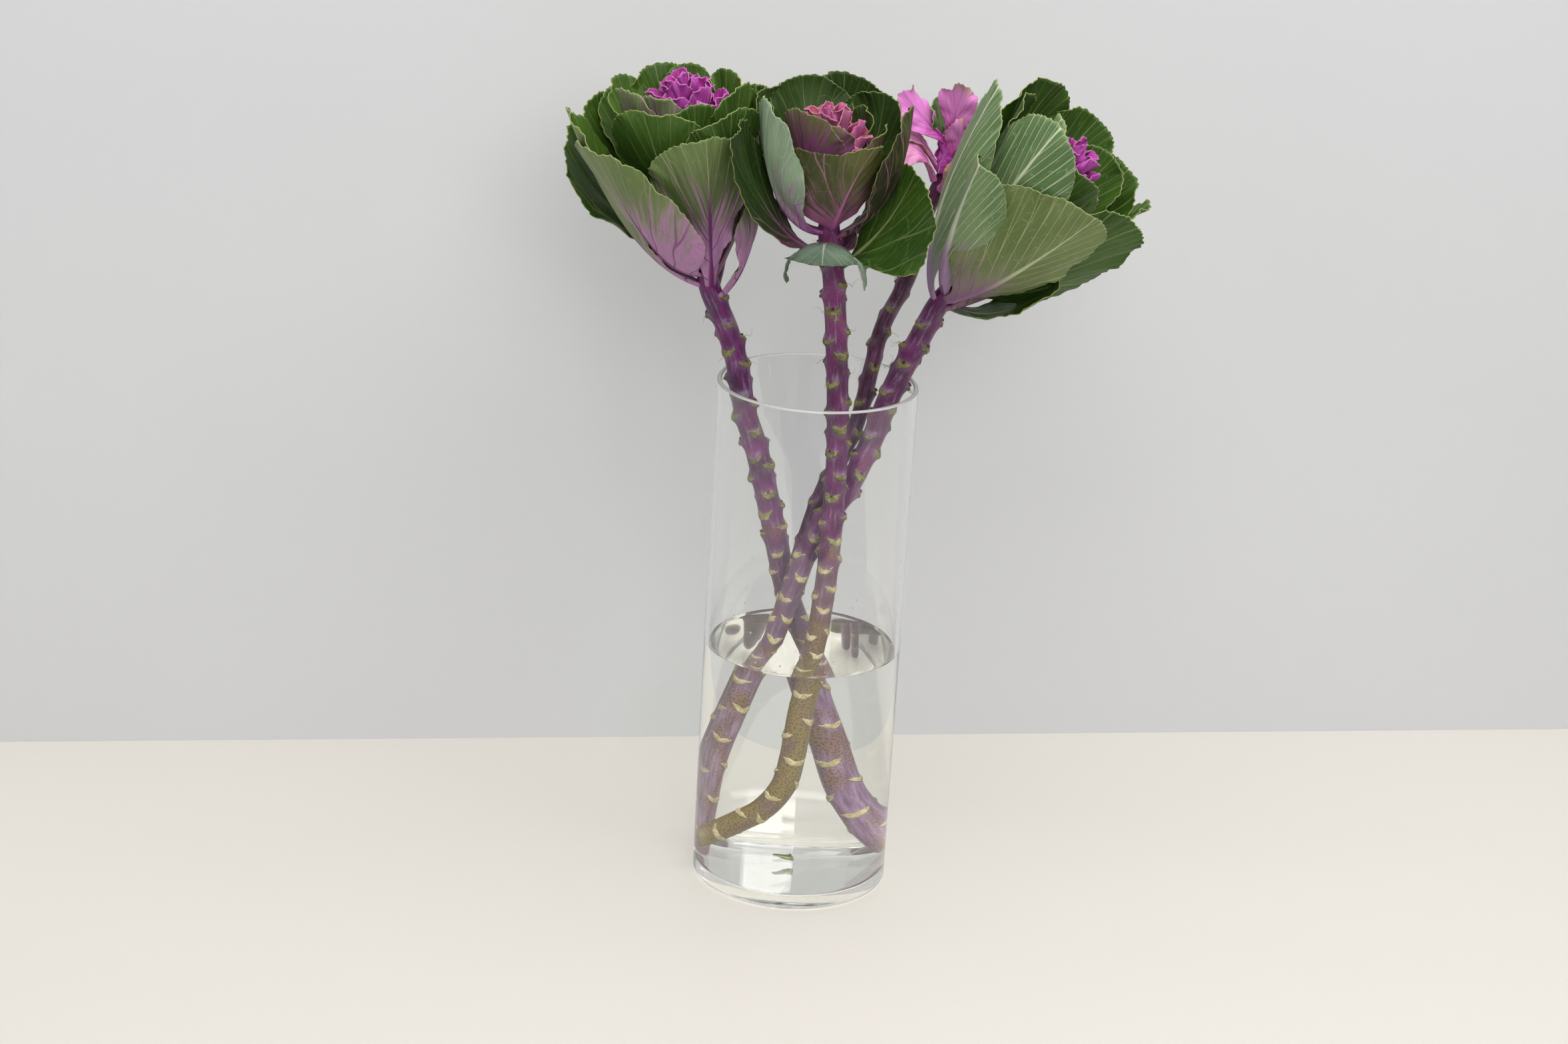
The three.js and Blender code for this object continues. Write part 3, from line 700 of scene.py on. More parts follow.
def stem_look(name, bright, deep, grey, wet, olive, stain, bloom):
    look = Look(name)
    around, along, _ = look.uv("skin")
    split = look.node("ShaderNodeSeparateXYZ")
    look.put(split.inputs[0], look.place())
    height = look.sum("MULTIPLY", split.outputs[2], 1000)
    long_map = look.vector(look.sum("MULTIPLY", around, 6.0), look.sum("MULTIPLY", along, 1.6), 0)
    true_map = look.vector(look.sum("MULTIPLY", around, 0.5), along, 0)
    streak = look.noise(long_map, 3.4, 4, 0.6)
    patch = look.noise(look.place(), 42, 2, 0.5)
    fine = look.noise(look.place(), 900, 2, 0.6)
    base = look.blend(look.step(patch, 0.3, 0.7), shade(deep), shade(bright))
    low = look.step(height, *GREYING)
    base = look.blend(look.sum("MULTIPLY", low, 0.9), base, shade(grey))
    soaked = look.blend(look.step(streak, 0.3, 0.7), base, shade(wet))
    base = look.blend(look.step(height, *SOAKING), base, soaked)
    near = look.read("near")
    haze = look.sum("ADD", look.step(streak, 0.5, 0.8), look.sum("MULTIPLY", near, 0.55))
    base = look.blend(look.clamp(look.sum("MULTIPLY", haze, bloom)), base, shade("a898ae"))
    under = look.step(height, *STAINING)
    where = look.sum("ADD", patch, look.sum("MULTIPLY", under, stain))
    base = look.blend(look.step(where, 0.6, 0.95), base, shade(olive))
    speck = look.step(look.cells(true_map, 48, "F1", flat=True), 0.34, 0.14)
    speck = look.sum("MULTIPLY", speck, look.step(where, 0.55, 0.85))
    dash = look.step(look.noise(long_map, 9.0, 2, 0.7), 0.6, 0.72)
    speck = look.sum("MAXIMUM", speck, look.sum("MULTIPLY", dash, look.step(where, 0.45, 1.0)))
    base = look.blend(look.sum("MULTIPLY", speck, 0.9), base, shade("3a2012"))
    base = look.blend(look.sum("MULTIPLY", look.step(fine, 0.5, 0.75), 0.07), base, shade("d9c4d4"))
    look.set(base_color=base, roughness=look.between(streak, 0.3, 0.55), specular_ior_level=0.5)
    relief = look.sum("ADD", look.sum("MULTIPLY", streak, 0.7), look.sum("MULTIPLY", fine, 0.2))
    look.relief(relief, 0.5 * MM, 0.6)
    return look.material


STEM_LOOKS = {
    # bright and deep skin, grey towards the water, wet, olive stain, its strength, bloom
    "left": stem_look("purple stem skin", "761a6b", "430f40", "6a4d6a", "9a789b", "80603a",
                      0.22, 0.6),
    "middle": stem_look("mottled stem skin", "732160", "4d1641", "5f3f45", "7a5560", "7c6a2c",
                        0.4, 0.6),
    "back": stem_look("dark stem skin", "5c1b47", "3b112e", "5f4558", "8a6a88", "75563f",
                      0.16, 0.35),
    "right": stem_look("plum stem skin", "6e2061", "4a1542", "6c5066", "a88ca4", "80603e",
                       0.18, 0.55),
}

# %% [markdown]
# The face of a scar is corky: pale olive with dark specks, straw-coloured lower down, and ragged
# at its edge. Two attributes, set when the cushion is shaped, tell the face from its lip and from
# the bud above it.

# %% Scar faces
scar_look = Look("corky scar face")
scar_height = scar_look.node("ShaderNodeSeparateXYZ")
scar_look.put(scar_height.inputs[0], scar_look.place())
old = scar_look.step(scar_height.outputs[2], 0.34, 0.2)
speckle = scar_look.noise(scar_look.place(), 1100, 3, 0.7)
blotch = scar_look.noise(scar_look.place(), 240, 2)
corky = scar_look.blend(scar_look.step(blotch, 0.3, 0.7), shade("5f5f2c"), shade("969158"))
straw = scar_look.blend(scar_look.step(blotch, 0.3, 0.7), shade("b3a36c"), shade("d8cda0"))
corky = scar_look.blend(old, corky, straw)
dark_share = scar_look.between(old, 0.85, 0.5)
corky = scar_look.blend(scar_look.sum("MULTIPLY", scar_look.step(speckle, 0.5, 0.62), dark_share),
                        corky, shade("32250f"))
lip = scar_look.blend(blotch, shade("8d7f78"), shade("4d2b49"))
scar_color = scar_look.blend(scar_look.read("face"), lip, corky)
bud = scar_look.blend(scar_look.step(blotch, 0.4, 0.6), shade("3d1232"), shade("7b4a66"))
scar_color = scar_look.blend(scar_look.read("bud"), scar_color, bud)
scar_look.set(base_color=scar_color, roughness=scar_look.between(blotch, 0.55, 0.85))
scar_look.relief(speckle, 0.6 * MM, 0.9)


# %% [markdown]
# One ball, flattened to a pair of lifted wings, is the pattern for every scar, with a smaller ball
# for the bud. Copies of it are set along the spiral, each with its own size, its own ragged edge
# and a mesh of its own.

# %% Setting the scars on a stem
WING = 7.0
BUD_PLACE = np.array([0, 2.6, 0.9])
BUD_SIZE = np.array([1.1, 1.3, 1.2])
BUD_FROM = 270
THIN_STEM, THIN_STEM_SHARE = 7, 0.75
LOW_WIDENING, WIDENED_BY = 60, 0.3


def winged_scar(name):
    """The pattern: beside, above and out from the middle of a scar, in millimetres."""
    ball = start(bpy.ops.mesh.primitive_uv_sphere_add, name, segments=14, ring_count=6, radius=1)
    x, y, z = points_of(ball).T
    beside = WING * x
    notch = 1.3 * np.exp(-(beside / 1.3) ** 2) * np.maximum(y, 0)
    above = 2.9 * y * np.sqrt(np.clip(1.15 - x ** 2, 0, 1)) - notch + 0.075 * beside ** 2
    mark(ball, "face", ease(-0.2, 0.3, z))
    mark(ball, "bud", np.zeros(len(x)))
    set_points(ball, np.stack([beside, above, 0.7 * z], 1))
    bud = start(bpy.ops.mesh.primitive_uv_sphere_add, "bud", segments=6, ring_count=4, radius=1)
    mark(bud, "face", np.ones(len(bud.data.vertices)))
    mark(bud, "bud", np.ones(len(bud.data.vertices)))
    set_points(bud, points_of(bud) * BUD_SIZE + BUD_PLACE)
    pattern = join([ball, bud], name)
    bpy.ops.object.shade_smooth()
    pattern.data.materials.append(scar_look.material)
    return pattern


def set_scars(place, scars, track):
    middle, ahead, radius, length, across, over = track
    pattern = winged_scar("scar_pattern")
    shape = points_of(pattern) / MM
    is_bud = np.zeros(len(shape))
    pattern.data.attributes["bud"].data.foreach_get("value", is_bud)
    made = []
    for index, (at, where, ledge) in enumerate(scars):
        step = int(np.argmin(np.abs(length - at)))
        level = middle[step, 2]
        copy = own_copy(pattern)
        wide = chance.uniform(0.8, 1.1)
        wide *= 1 + WIDENED_BY * float(ease(LEDGE_FROM, LEDGE_FROM - LOW_WIDENING, level))
        tall = chance.uniform(0.8, 1.15)
        ragged = 1 + 0.17 * waves(np.arctan2(shape[:, 1], shape[:, 0]), 7, 31 * index + 5)
        if radius[step] < THIN_STEM:
            wide *= THIN_STEM_SHARE
        beside, above, out = shape[:, 0] * wide * ragged, shape[:, 1] * tall * ragged, shape[:, 2]
        grown = chance.uniform(0.5, 1.1) if level > BUD_FROM and chance.uniform() < 0.6 else 0.01
        beside = np.where(is_bud > 0, shape[:, 0] * grown, beside)
        above = np.where(is_bud > 0, BUD_PLACE[1] + (shape[:, 1] - BUD_PLACE[1]) * grown, above)
        out = np.where(is_bud > 0, shape[:, 2] * grown - (grown < 0.1), out)
        slope = LEDGE_SHARE * ledge * np.clip(1 - (above + 1) / 4.5, 0, 1)
        around = where + beside / radius[step]
        spread = out_of_tube(step, around, across, over)
        out = radius[step] + slope * np.clip(1 - (beside / 8) ** 2, 0, 1) + out
        set_points(copy, middle[step] + ahead[step] * above[:, None] + spread * out[:, None])
        made.append(copy)
    bpy.data.objects.remove(pattern)
    return join(made, f"stem_{place}_scars")


# %% [markdown]
# A few dry fibres, torn from the leaf bases, curl away from the upper stems. Each is a thin tube:
# a small grid wrapped round a coiling path.

# %% Curling fibres
THREAD_SIDES, THREAD_STEPS, THREAD_RADIUS = 5, 26, 0.27
FIBRES = {"left": 5, "middle": 18, "back": 2, "right": 8}
FIBRES_FROM, FIBRES_TO = 400, 560

fibre_look = Look("dry fibre")
fibre_tone = fibre_look.noise(fibre_look.place(), 300, 2)
fibre_look.set(base_color=fibre_look.blend(fibre_tone, shade("8f8a58"), shade("c2b08e")),
               roughness=0.7)


def thread(name, path):
    """A thin tube along a row of places."""
    piece, row, angle = tube_grid(name, THREAD_SIDES, THREAD_STEPS)
    across, over = turn_frames(unit(np.gradient(path, axis=0)))
    out = out_of_tube(row, angle, across, over)
    taper = 1 - 0.7 * row / THREAD_STEPS
    set_points(piece, path[row] + out * (THREAD_RADIUS * taper)[:, None])
    close_tube(piece, THREAD_SIDES)
    return piece


def set_fibres(place, scars, track):
    middle, ahead, radius, length, across, over = track
    levels = np.interp([scar[0] for scar in scars], length, middle[:, 2])
    high = [scar for scar, level in zip(scars, levels) if FIBRES_FROM < level < FIBRES_TO]
    made = []
    for index in range(min(FIBRES[place], len(high))):
        at, where, _ = high[int(chance.integers(len(high)))]
        step = int(np.argmin(np.abs(length - at)))
        spread = across[step] * math.cos(where) + over[step] * math.sin(where)
        beside = np.cross(ahead[step], spread)
        t = np.linspace(0, 1, THREAD_STEPS + 1)[:, None]
        reach, coil, turns = chance.uniform(4, 10), chance.uniform(1.6, 3.2), chance.uniform(4, 9)
        path = (middle[step] + spread * (radius[step] + 1 + reach * t)
                + ahead[step] * (chance.uniform(-6, 3) * t + coil * np.sin(turns * t) * t)
                + beside * (chance.uniform(-5, 5) * t + coil * (1 - np.cos(turns * t)) * t))
        made.append(thread(f"fibre_{place}_{index}", path))
    print("stem", place, "carries", len(made), "fibres")
    piece = join(made, f"stem_{place}_fibres")
    piece.data.materials.append(fibre_look.material)
    bpy.ops.object.shade_smooth()
    return piece


# %% All four stems
for place in STEMS:
    skin, scars, track = make_stem(place)
    skin.data.materials.append(STEM_LOOKS[place])
    seat(skin, "stem", f"stem_{place}")
    faces = set_scars(place, scars, track)
    seat(faces, "stem")
    seat(set_fibres(place, scars, track), "stem")
    print("stem", place, "is", round(track[3][-1]), "mm long with", len(scars), "scars")

# %% [markdown]
# ## The leaves
# A kale leaf has a thick stalk that opens into a wide, cupped blade. Its midrib is one curve in a
# plane through the head's axis: it leaves the core at its seat and is drawn by three more points,
# each a distance from the axis and a height above the head's foot. Across the midrib the blade is
# an arc. The same few numbers, with these meanings, shape every leaf:
# turn is the angle about the axis, from the right towards the back; sway turns the tip further;
# width is across the blade; cup, fold and roll are angles across it; lean makes one side wider;
# stalk and full say where the stalk starts to open and where the blade is fully open. A few blades
# also have dips in the margin: the angle round the blade from its stalk, the spread and the depth.
# Out moves a blade outwards where a neighbour lies close behind it, and teeth are the pitch and the
# depth of the small scallops along the margin. Blunt squares the tip, frill makes the ruffles
# stronger or weaker, cells is how fine the grid is, and look, blush and tone choose the colours.
# Tone is how much of the darker patches, which are partly painted shade, a leaf takes.

# %% One leaf's middle surface
ROOT_RADIUS = 4
PETIOLE_WIDTH = 9
BASE_BLUNTNESS = 8
BLADE_END = 0.9995
ROLL_FADE = 0.45
ARC_STEPS = 8
PLAIN = dict(sway=0, cup=40, fold=0, roll=0, lean=0, stalk=0.05, full=0.6, blunt=2.5, frill=1.0,
             cells=44, look="green", blush=0.45, tone=0.5, dips=(), out=0, teeth=(5.2, 0.016))


def blade(head, leaf, across, along):
    """Points of a leaf over a round disc, the outer normals, and the measures looks need."""
    foot, axis, right, back = head
    t = (1 + along) / 2
    u = 1 - t
    knots = [(ROOT_RADIUS, leaf["seat"]), leaf["rise"], leaf["reach"], leaf["tip"]]
    bend = [u ** 3 * knots[0][k] + 3 * u * u * t * knots[1][k] + 3 * u * t * t * knots[2][k]
            + t ** 3 * knots[3][k] for k in (0, 1)]
    slope = [3 * u * u * (knots[1][k] - knots[0][k]) + 6 * u * t * (knots[2][k] - knots[1][k])
             + 3 * t * t * (knots[3][k] - knots[2][k]) for k in (0, 1)]
    turn = np.radians(leaf["turn"] + leaf["sway"] * t * t)
    outward = np.cos(turn)[:, None] * right + np.sin(turn)[:, None] * back
    sideways = np.cross(axis, outward)
    point = foot + outward * bend[0][:, None] + axis * bend[1][:, None]
    swing = bend[0] * 2 * leaf["sway"] * t * math.radians(1)
    onward = unit(outward * slope[0][:, None] + axis * slope[1][:, None]
                  + sideways * swing[:, None])
    inward = unit(axis * slope[0][:, None] - outward * slope[1][:, None])
    inward = unit(inward - onward * (inward * onward).sum(1, keepdims=True))
    side = np.cross(inward, onward)

    half = leaf["width"] / 2
    stalk = PETIOLE_WIDTH / leaf["width"]
    opening = stalk + (1 - stalk) * ease(leaf["stalk"], leaf["full"], t)
    end = np.minimum(np.abs(along), BLADE_END)
    power = np.where(along < 0, BASE_BLUNTNESS, leaf["blunt"])
    blunt = (1 - end ** power) ** (1 / power) / np.sqrt(1 - end * end)
    signed = across * opening * blunt * (1 + leaf["lean"] * np.sign(across))

    reach = np.abs(signed)
    side_step = np.zeros(len(t))
    in_step = np.zeros(len(t))
    for step in range(ARC_STEPS):
        angle = np.radians(leaf["fold"] + leaf["cup"] * (step + 0.5) / ARC_STEPS * reach)
        side_step += np.cos(angle) * reach / ARC_STEPS
        in_step += np.sin(angle) * reach / ARC_STEPS
    roll = np.radians(leaf["roll"]) * ease(0, ROLL_FADE, t)
    flat = side * np.cos(roll)[:, None] + inward * np.sin(roll)[:, None]
    lift = inward * np.cos(roll)[:, None] - side * np.sin(roll)[:, None]
    point = point + flat * (side_step * np.sign(signed) * half)[:, None]
    point = point + lift * (in_step * half)[:, None]
    bank = np.radians(leaf["fold"] + leaf["cup"] * reach)
    climb = np.sin(bank) * np.sign(signed)
    normal = unit(lift * np.cos(bank)[:, None] - flat * climb[:, None])
    return point, normal, signed, t


# %% [markdown]
# A grid is the primitive that suits a leaf. Its square is drawn onto a round disc, so that its
# four edges become the one margin, and the disc is laid on the surface above. Bending, scaling and
# twisting tools could not cup and open the blade at once, so the points are moved by the formula.
# Towards the margin the blade is longer than its frame allows, so it ruffles: long waves and short
# ones, and a row of small scallops.

# %% The margin and the ruffles
# the length and the height of the long and the short ruffles, and the height of a scallop
LONG_RUFFLE, SHORT_RUFFLE = (55, 1.9), (17, 0.7)
SCALLOP_HEIGHT = 0.3
OUTLINE_DEPTH = 0.03
BLADE_SWELL = 0.8


def margin_of(leaf, rim, angle, girth, seed):
    """How far each point is drawn in towards the blade's middle, and the scallops."""
    pitch, depth_share = leaf["teeth"]
    scallop = 0.5 + 0.5 * np.sin(round(girth / pitch) * angle + 2 * waves(angle, 5, seed))
    outline = 0.5 + 0.5 * waves(angle, 4, seed + 1)
    notch = rim ** 6 * (depth_share * scallop + OUTLINE_DEPTH * outline) * leaf["frill"]
    dips = np.zeros(len(rim))
    for place_at, spread, depth in leaf["dips"]:
        apart = (angle - math.radians(place_at) + math.pi) % (2 * math.pi) - math.pi
        dips += depth * rim ** 3 * np.exp(-(apart / math.radians(spread)) ** 2)
    return notch, dips, scallop


def ruffles_of(leaf, rim, angle, girth, scallop, seed):
    """How far each point is lifted off the smooth blade."""
    ruffle = waves(angle, girth / LONG_RUFFLE[0], seed + 2) * LONG_RUFFLE[1]
    ruffle = ruffle + waves(angle, girth / SHORT_RUFFLE[0], seed + 3) * SHORT_RUFFLE[1]
    ruffle = ruffle * rim ** 5 + SCALLOP_HEIGHT * scallop * rim ** 12
    swell = BLADE_SWELL * waves(angle, 3, seed + 4) * rim ** 2 * (1 - rim ** 2) * 4
    return leaf["frill"] * (ruffle + swell) - leaf["out"]


# %% [markdown]
# The leaf's look needs a few numbers at every vertex: how far the margin is, where a scallop bulges,
# how far the purple climbs, and two smooth chance patterns that keep two leaves from matching.

# %% Numbers for the shader
GOLDEN_STEP = 0.618


def ripples(across, along, pace, seed):
    """A smooth chance pattern over a blade, between about -1 and 1."""
    own = np.random.default_rng(seed)
    total = np.zeros(len(across))
    for share in (1, 1, 1.6, 1.6, 2.5, 2.5):
        heading, phase = own.uniform(0, 2 * math.pi, 2)
        travel = across * math.cos(heading) + 1.6 * along * math.sin(heading)
        total += np.sin(pace * share * travel + phase) / share
    return total / 2


def chance_of(seed):
    """A number between 0 and 1 that differs from each leaf to the next."""
    return (seed * GOLDEN_STEP) % 1


def mark_leaf(piece, leaf, rim, angle, girth, scallop, signed, t, seed):
    size = leaf["width"] / 2 * np.abs(np.sin(angle)) + girth / 5 * np.abs(np.cos(angle))
    mark(piece, "rim", (1 - rim) * size)
    mark(piece, "bead", scallop)
    mark(piece, "blush", np.full(len(rim), leaf["blush"]))
    # tone: how much of the darker patches, partly painted shade, the leaf takes
    mark(piece, "tone", np.full(len(rim), leaf["tone"]))
    mark(piece, "drift", 0.22 * ripples(signed, t, 1.6, seed + 5) + chance_of(seed))
    mark(piece, "patch", 0.5 + 0.2 * ripples(signed, t, 5.0, seed + 6))


# %% [markdown]
# The sheet gets its thickness last, from Solidify. A vertex group raises it along the stalk and
# the midrib, which stand out on the outer side of a real leaf.

# %% Growing a leaf
BLADE_THICKNESS = 0.6
STALK_THICKNESS = 4.4
RIB_FOOT, RIB_NARROWING = 4.6, 3.2


def thicken(piece, leaf, signed, t):
    """Gives the sheet its thickness, outwards, and its thicker stalk and midrib."""
    ribbed = np.abs(signed) * leaf["width"] / 2
    rib_width = RIB_FOOT - RIB_NARROWING * ease(0, 0.8, t)
    ridge = np.exp(-(ribbed / rib_width) ** 2) * (1 - ease(0.0, 1.0, t)) ** 1.3
    thick = BLADE_THICKNESS + (STALK_THICKNESS - BLADE_THICKNESS) * ridge
    group = piece.vertex_groups.new(name="thickness")
    for index, value in enumerate(thick / STALK_THICKNESS):
        group.add([index], float(value), "REPLACE")
    solid = piece.modifiers.new("thickness", "SOLIDIFY")
    solid.thickness = STALK_THICKNESS * MM
    solid.offset = 1
    solid.vertex_group = "thickness"
    solid.material_offset = 1
    solid.use_even_offset = False


def grow_leaf(name, head, leaf, seed):
    leaf = {**PLAIN, **leaf}
    cells = leaf["cells"]
    piece = start(bpy.ops.mesh.primitive_grid_add, name, x_subdivisions=cells,
                  y_subdivisions=cells, size=2)
    a, b, _ = points_of(piece).T
    across = a * np.sqrt(1 - b * b / 2)
    along = b * np.sqrt(1 - a * a / 2)
    rim = np.hypot(across, along)
    angle = np.arctan2(across, -along)
    long = np.hypot(*np.subtract(leaf["tip"], (ROOT_RADIUS, leaf["seat"])))
    girth = math.pi * (leaf["width"] + long) / 2
    open_blade = ease(-0.75, -0.2, along)

    notch, dips, scallop = margin_of(leaf, rim, angle, girth, seed)
    shrink = 1 - open_blade * notch - dips
    point, normal, signed, t = blade(head, leaf, across * shrink, along * shrink)
    lift = open_blade * ruffles_of(leaf, rim, angle, girth, scallop, seed)
    set_points(piece, point + normal * (lift + BLADE_THICKNESS / 2)[:, None])

    write_map(piece, "blade", np.stack([0.5 + 0.5 * signed, t], 1))
    mark_leaf(piece, leaf, rim, angle, girth, scallop, signed, t, seed)
    thicken(piece, leaf, signed, t)
    for material in LEAF_LOOKS[leaf["look"]]:
        piece.data.materials.append(material)
    apply_all(piece)
    bpy.ops.object.shade_smooth()
    return piece


# %% [markdown]
# ## The leaves' looks
# Veins leave the midrib and fan out to the margin, where they fork. In the leaf's own map, whose
# first coordinate goes across and whose second goes from the seat to the tip, a family of fanning
# lines has one simple formula, and its fraction tells how far the nearest vein is. A net of cells,
# drawn out along those lines, makes the finest veins. The purple rises from the stalk, and the
# outer face is paler and duller than the glossy inner one.

# %% Fanning veins
# each pair is near the midrib, or at the stalk, and then at the margin or the tip
VEIN_WIDTHS, RIB_WIDTHS = (0.065, 0.028), (0.065, 0.01)
FORK_FROM, FORK_SHIFT = 0.35, 0.24
EDGE_STRENGTH = 0.5
NET_ALONG, NET_ACROSS, NET_WIDTH = 1.7, 9.0, 0.06


def vein_lines(look, u, v, patch, veins, rise, strength, net, width, keel):
    """How strong a vein is at each place, the way to the nearest, and the lane it lies in."""
    offset = look.sum("MULTIPLY_ADD", u, 2.0, -1.0)
    x = look.sum("ABSOLUTE", offset)
    other_side = look.sum("GREATER_THAN", offset, 0.0)
    fan = look.sum("DIVIDE", look.sum("SUBTRACT", v, look.sum("MULTIPLY", x, rise[0])),
                   look.sum("MULTIPLY_ADD", x, rise[1], 1.0))
    lane = look.sum("MULTIPLY_ADD", fan, veins, look.sum("MULTIPLY", other_side, 0.5))
    lane = look.sum("ADD", lane, look.sum("MULTIPLY_ADD", patch, 0.5, look.read("drift")))
    off = look.sum("ABSOLUTE", look.sum("SUBTRACT", look.sum("FRACT", lane), 0.5))
    fork = look.sum("MULTIPLY", look.step(x, FORK_FROM, 1.0), FORK_SHIFT)
    off = look.sum("ABSOLUTE", look.sum("SUBTRACT", off, fork))
    lane_width = look.between(x, VEIN_WIDTHS[0] * width, VEIN_WIDTHS[1] * width)
    vein = look.step(off, lane_width, look.sum("MULTIPLY", lane_width, 0.2))
    vein = look.sum("MULTIPLY", vein, look.step(fan, 0.0, 0.04))
    fading = look.between(look.step(x, 0.4, 1.0), 1.0, EDGE_STRENGTH)
    vein = look.sum("MULTIPLY", vein, fading)
    rib_width = look.between(look.step(v, 0.0, 0.95), RIB_WIDTHS[0] * width * keel,
                             RIB_WIDTHS[1] * width * keel)
    rib = look.step(x, rib_width, look.sum("MULTIPLY", rib_width, 0.35))
    mesh = look.vector(look.sum("MULTIPLY", lane, NET_ALONG),
                       look.sum("MULTIPLY", x, NET_ACROSS), 0.0)
    fine = look.step(look.cells(mesh, 1.0, flat=True), NET_WIDTH, 0.0)
    lines = look.sum("MAXIMUM", rib, look.sum("MULTIPLY", vein, strength))
    lines = look.sum("MAXIMUM", lines, look.sum("MULTIPLY", fine, net))
    return lines, off, lane, x


# %% [markdown]
# One face of a leaf is then laid in order, as a painter would: the purple that climbs from the
# stalk, the green, its darker patches, which are partly the leaf's own darker green and partly
# painted shade, the veins, and last the pale margin.

# %% The look of one face of a leaf
PUCKER = 0.35
VEIN_HEIGHT = 0.6


def leaf_look(name, low, high, vein_low, vein_high, edge, outer, veins=7.0, rise=(0.1, 2.0),
              strength=0.7, net=0.22, gloss=(0.45, 0.6), dark=None, spread=0.2, width=1.0,
              end=None, keel=1.0):
    look = Look(name)
    u, v, _ = look.uv("blade")
    patch = look.read("patch")
    lines, off, lane, x = vein_lines(look, u, v, patch, veins, rise, strength, net, width, keel)
    strip = look.vector(look.sum("MULTIPLY", lane, 3.0), look.sum("MULTIPLY", x, 1.5), 0.0)
    streak = look.noise(strip, 1.6, 2, 0.6, flat=True)

    blush = look.read("blush")
    climb = look.sum("ADD", v, look.sum("MULTIPLY", x, 0.08))
    climb = look.sum("ADD", climb, look.sum("MULTIPLY", look.sum("SUBTRACT", patch, 0.5), 0.2))
    climb = look.sum("ADD", climb, look.sum("MULTIPLY", look.sum("SUBTRACT", streak, 0.5), 0.7))
    climb = look.sum("SUBTRACT", climb, look.sum("MULTIPLY", lines, 0.12))
    green = look.step(climb, look.sum("SUBTRACT", blush, spread), look.sum("ADD", blush, spread))
    face = look.blend(green, shade(low), shade(high))
    # The darker patches: partly the leaf's own darker green, partly painted shade, in the colour dark; the
    # leaf's tone sets how much.
    if dark:
        shadow = look.step(look.sum("ADD", patch, look.sum("MULTIPLY", streak, 0.5)), 0.55, 0.95)
        painted_shade_from_tone = look.sum("SUBTRACT", look.read("tone"), 0.25)
        shadow = look.sum("ADD", look.sum("MULTIPLY", shadow, 0.5), painted_shade_from_tone)
        shadow = look.sum("MULTIPLY", look.clamp(shadow), look.step(green, 0.0, 0.8))
        face = look.blend(shadow, face, shade(dark))
    if end:
        ragged = look.sum("ADD", v, look.sum("MULTIPLY", patch, 0.4))
        last = look.step(ragged, end[1], end[1] + 0.25)
        face = look.blend(last, face, shade(end[0]))
    paling = look.step(v, look.sum("SUBTRACT", blush, 0.05), look.sum("ADD", blush, 0.25))
    vein_color = look.blend(paling, shade(vein_low), shade(vein_high))
    face = look.blend(lines, face, vein_color)
    margin = look.between(look.read("bead"), 0.15, 0.55)
    margin = look.step(look.read("rim"), look.sum("MULTIPLY", margin, 1.2),
                       look.sum("MULTIPLY", margin, 0.3))
    margin = look.sum("MULTIPLY", margin, look.between(look.step(v, 0.12, 0.35), 0.0, 0.75))
    face = look.blend(margin, face, shade(edge))

    look.set(base_color=face, roughness=look.between(patch, *gloss), specular_ior_level=0.3)
    pucker = look.sum("MULTIPLY", look.step(off, 0.0, 0.5), -PUCKER)
    height = (VEIN_HEIGHT if outer else -VEIN_HEIGHT) * MM
    look.relief(look.sum("ADD", lines, pucker), height, 0.7)
    return look.material


# %% The faces of each kind of green leaf, outer first
# Each is the face low down and high up, the veins low down and high up, and the margin. Dark,
# where given, is the colour of the darker patches, partly the leaf's own green and partly painted shade.
DEEP_INNER = leaf_look("deep green inner face", "6b4a55", "47681f", "6b3a62", "8a9a5e", "a7b06c",
                       False, gloss=(0.36, 0.5), dark="2b4a0f", strength=0.5)
BOLD_VEINS = dict(veins=10.0, rise=(0.5, 0.7))
LEAF_LOOKS = {
    "green": (
        leaf_look("grey green outer face", "b683ad", "80935a", "6f2769", "a3ac7c", "a9b274", True,
                  dark="465b24", strength=0.75, spread=0.26),
        DEEP_INNER,
    ),
    "deep": (
        leaf_look("deep green outer face", "8d5f7c", "50722a", "7a3d70", "8f9f62", "a7b06c", True,
                  gloss=(0.38, 0.52), dark="33521a", strength=0.6),
        DEEP_INNER,
    ),
    "pale": (
        leaf_look("pale green outer face", "97809a", "7c9862", "9a7a9c", "d3dcbd", "b7c48c", True,
                  dark="4a6b38", strength=0.95, width=1.25, keel=2.0, spread=0.24,
                  **BOLD_VEINS),
        DEEP_INNER,
    ),
    "olive": (
        leaf_look("olive green outer face", "8f6f80", "75864e", "92688c", "bcc498", "b3b67a", True,
                  dark="4e6224", strength=0.85, keel=1.4, spread=0.3, **BOLD_VEINS),
        DEEP_INNER,
    ),
    "blue": (
        leaf_look("bluish outer face", "a5629f", "9cb291", "76407a", "b9c9b0", "a3ad7c", True,
                  dark="6d8a6c", strength=0.55, net=0.45, spread=0.3),
        leaf_look("bluish inner face", "6f4c66", "7f9480", "7a4676", "a9b9a2", "a3ad7c", False,
                  dark="4c6048", strength=0.6, net=0.4),
    ),
    "dark": (
        leaf_look("olive outer face", "934f7e", "66702f", "a3568c", "a9788a", "8c9656", True,
                  dark="262a0f", strength=0.8, width=0.85, spread=0.3),
        leaf_look("dark green inner face", "5c2f48", "3a5220", "93507e", "66784a", "8c9656", False,
                  gloss=(0.36, 0.5), dark="1f340d", strength=0.6),
    ),
}

# %% [markdown]
# The long leaves of the thin stem are orchid pink, like petals. Their ends turn tan, more so on
# the older ones.

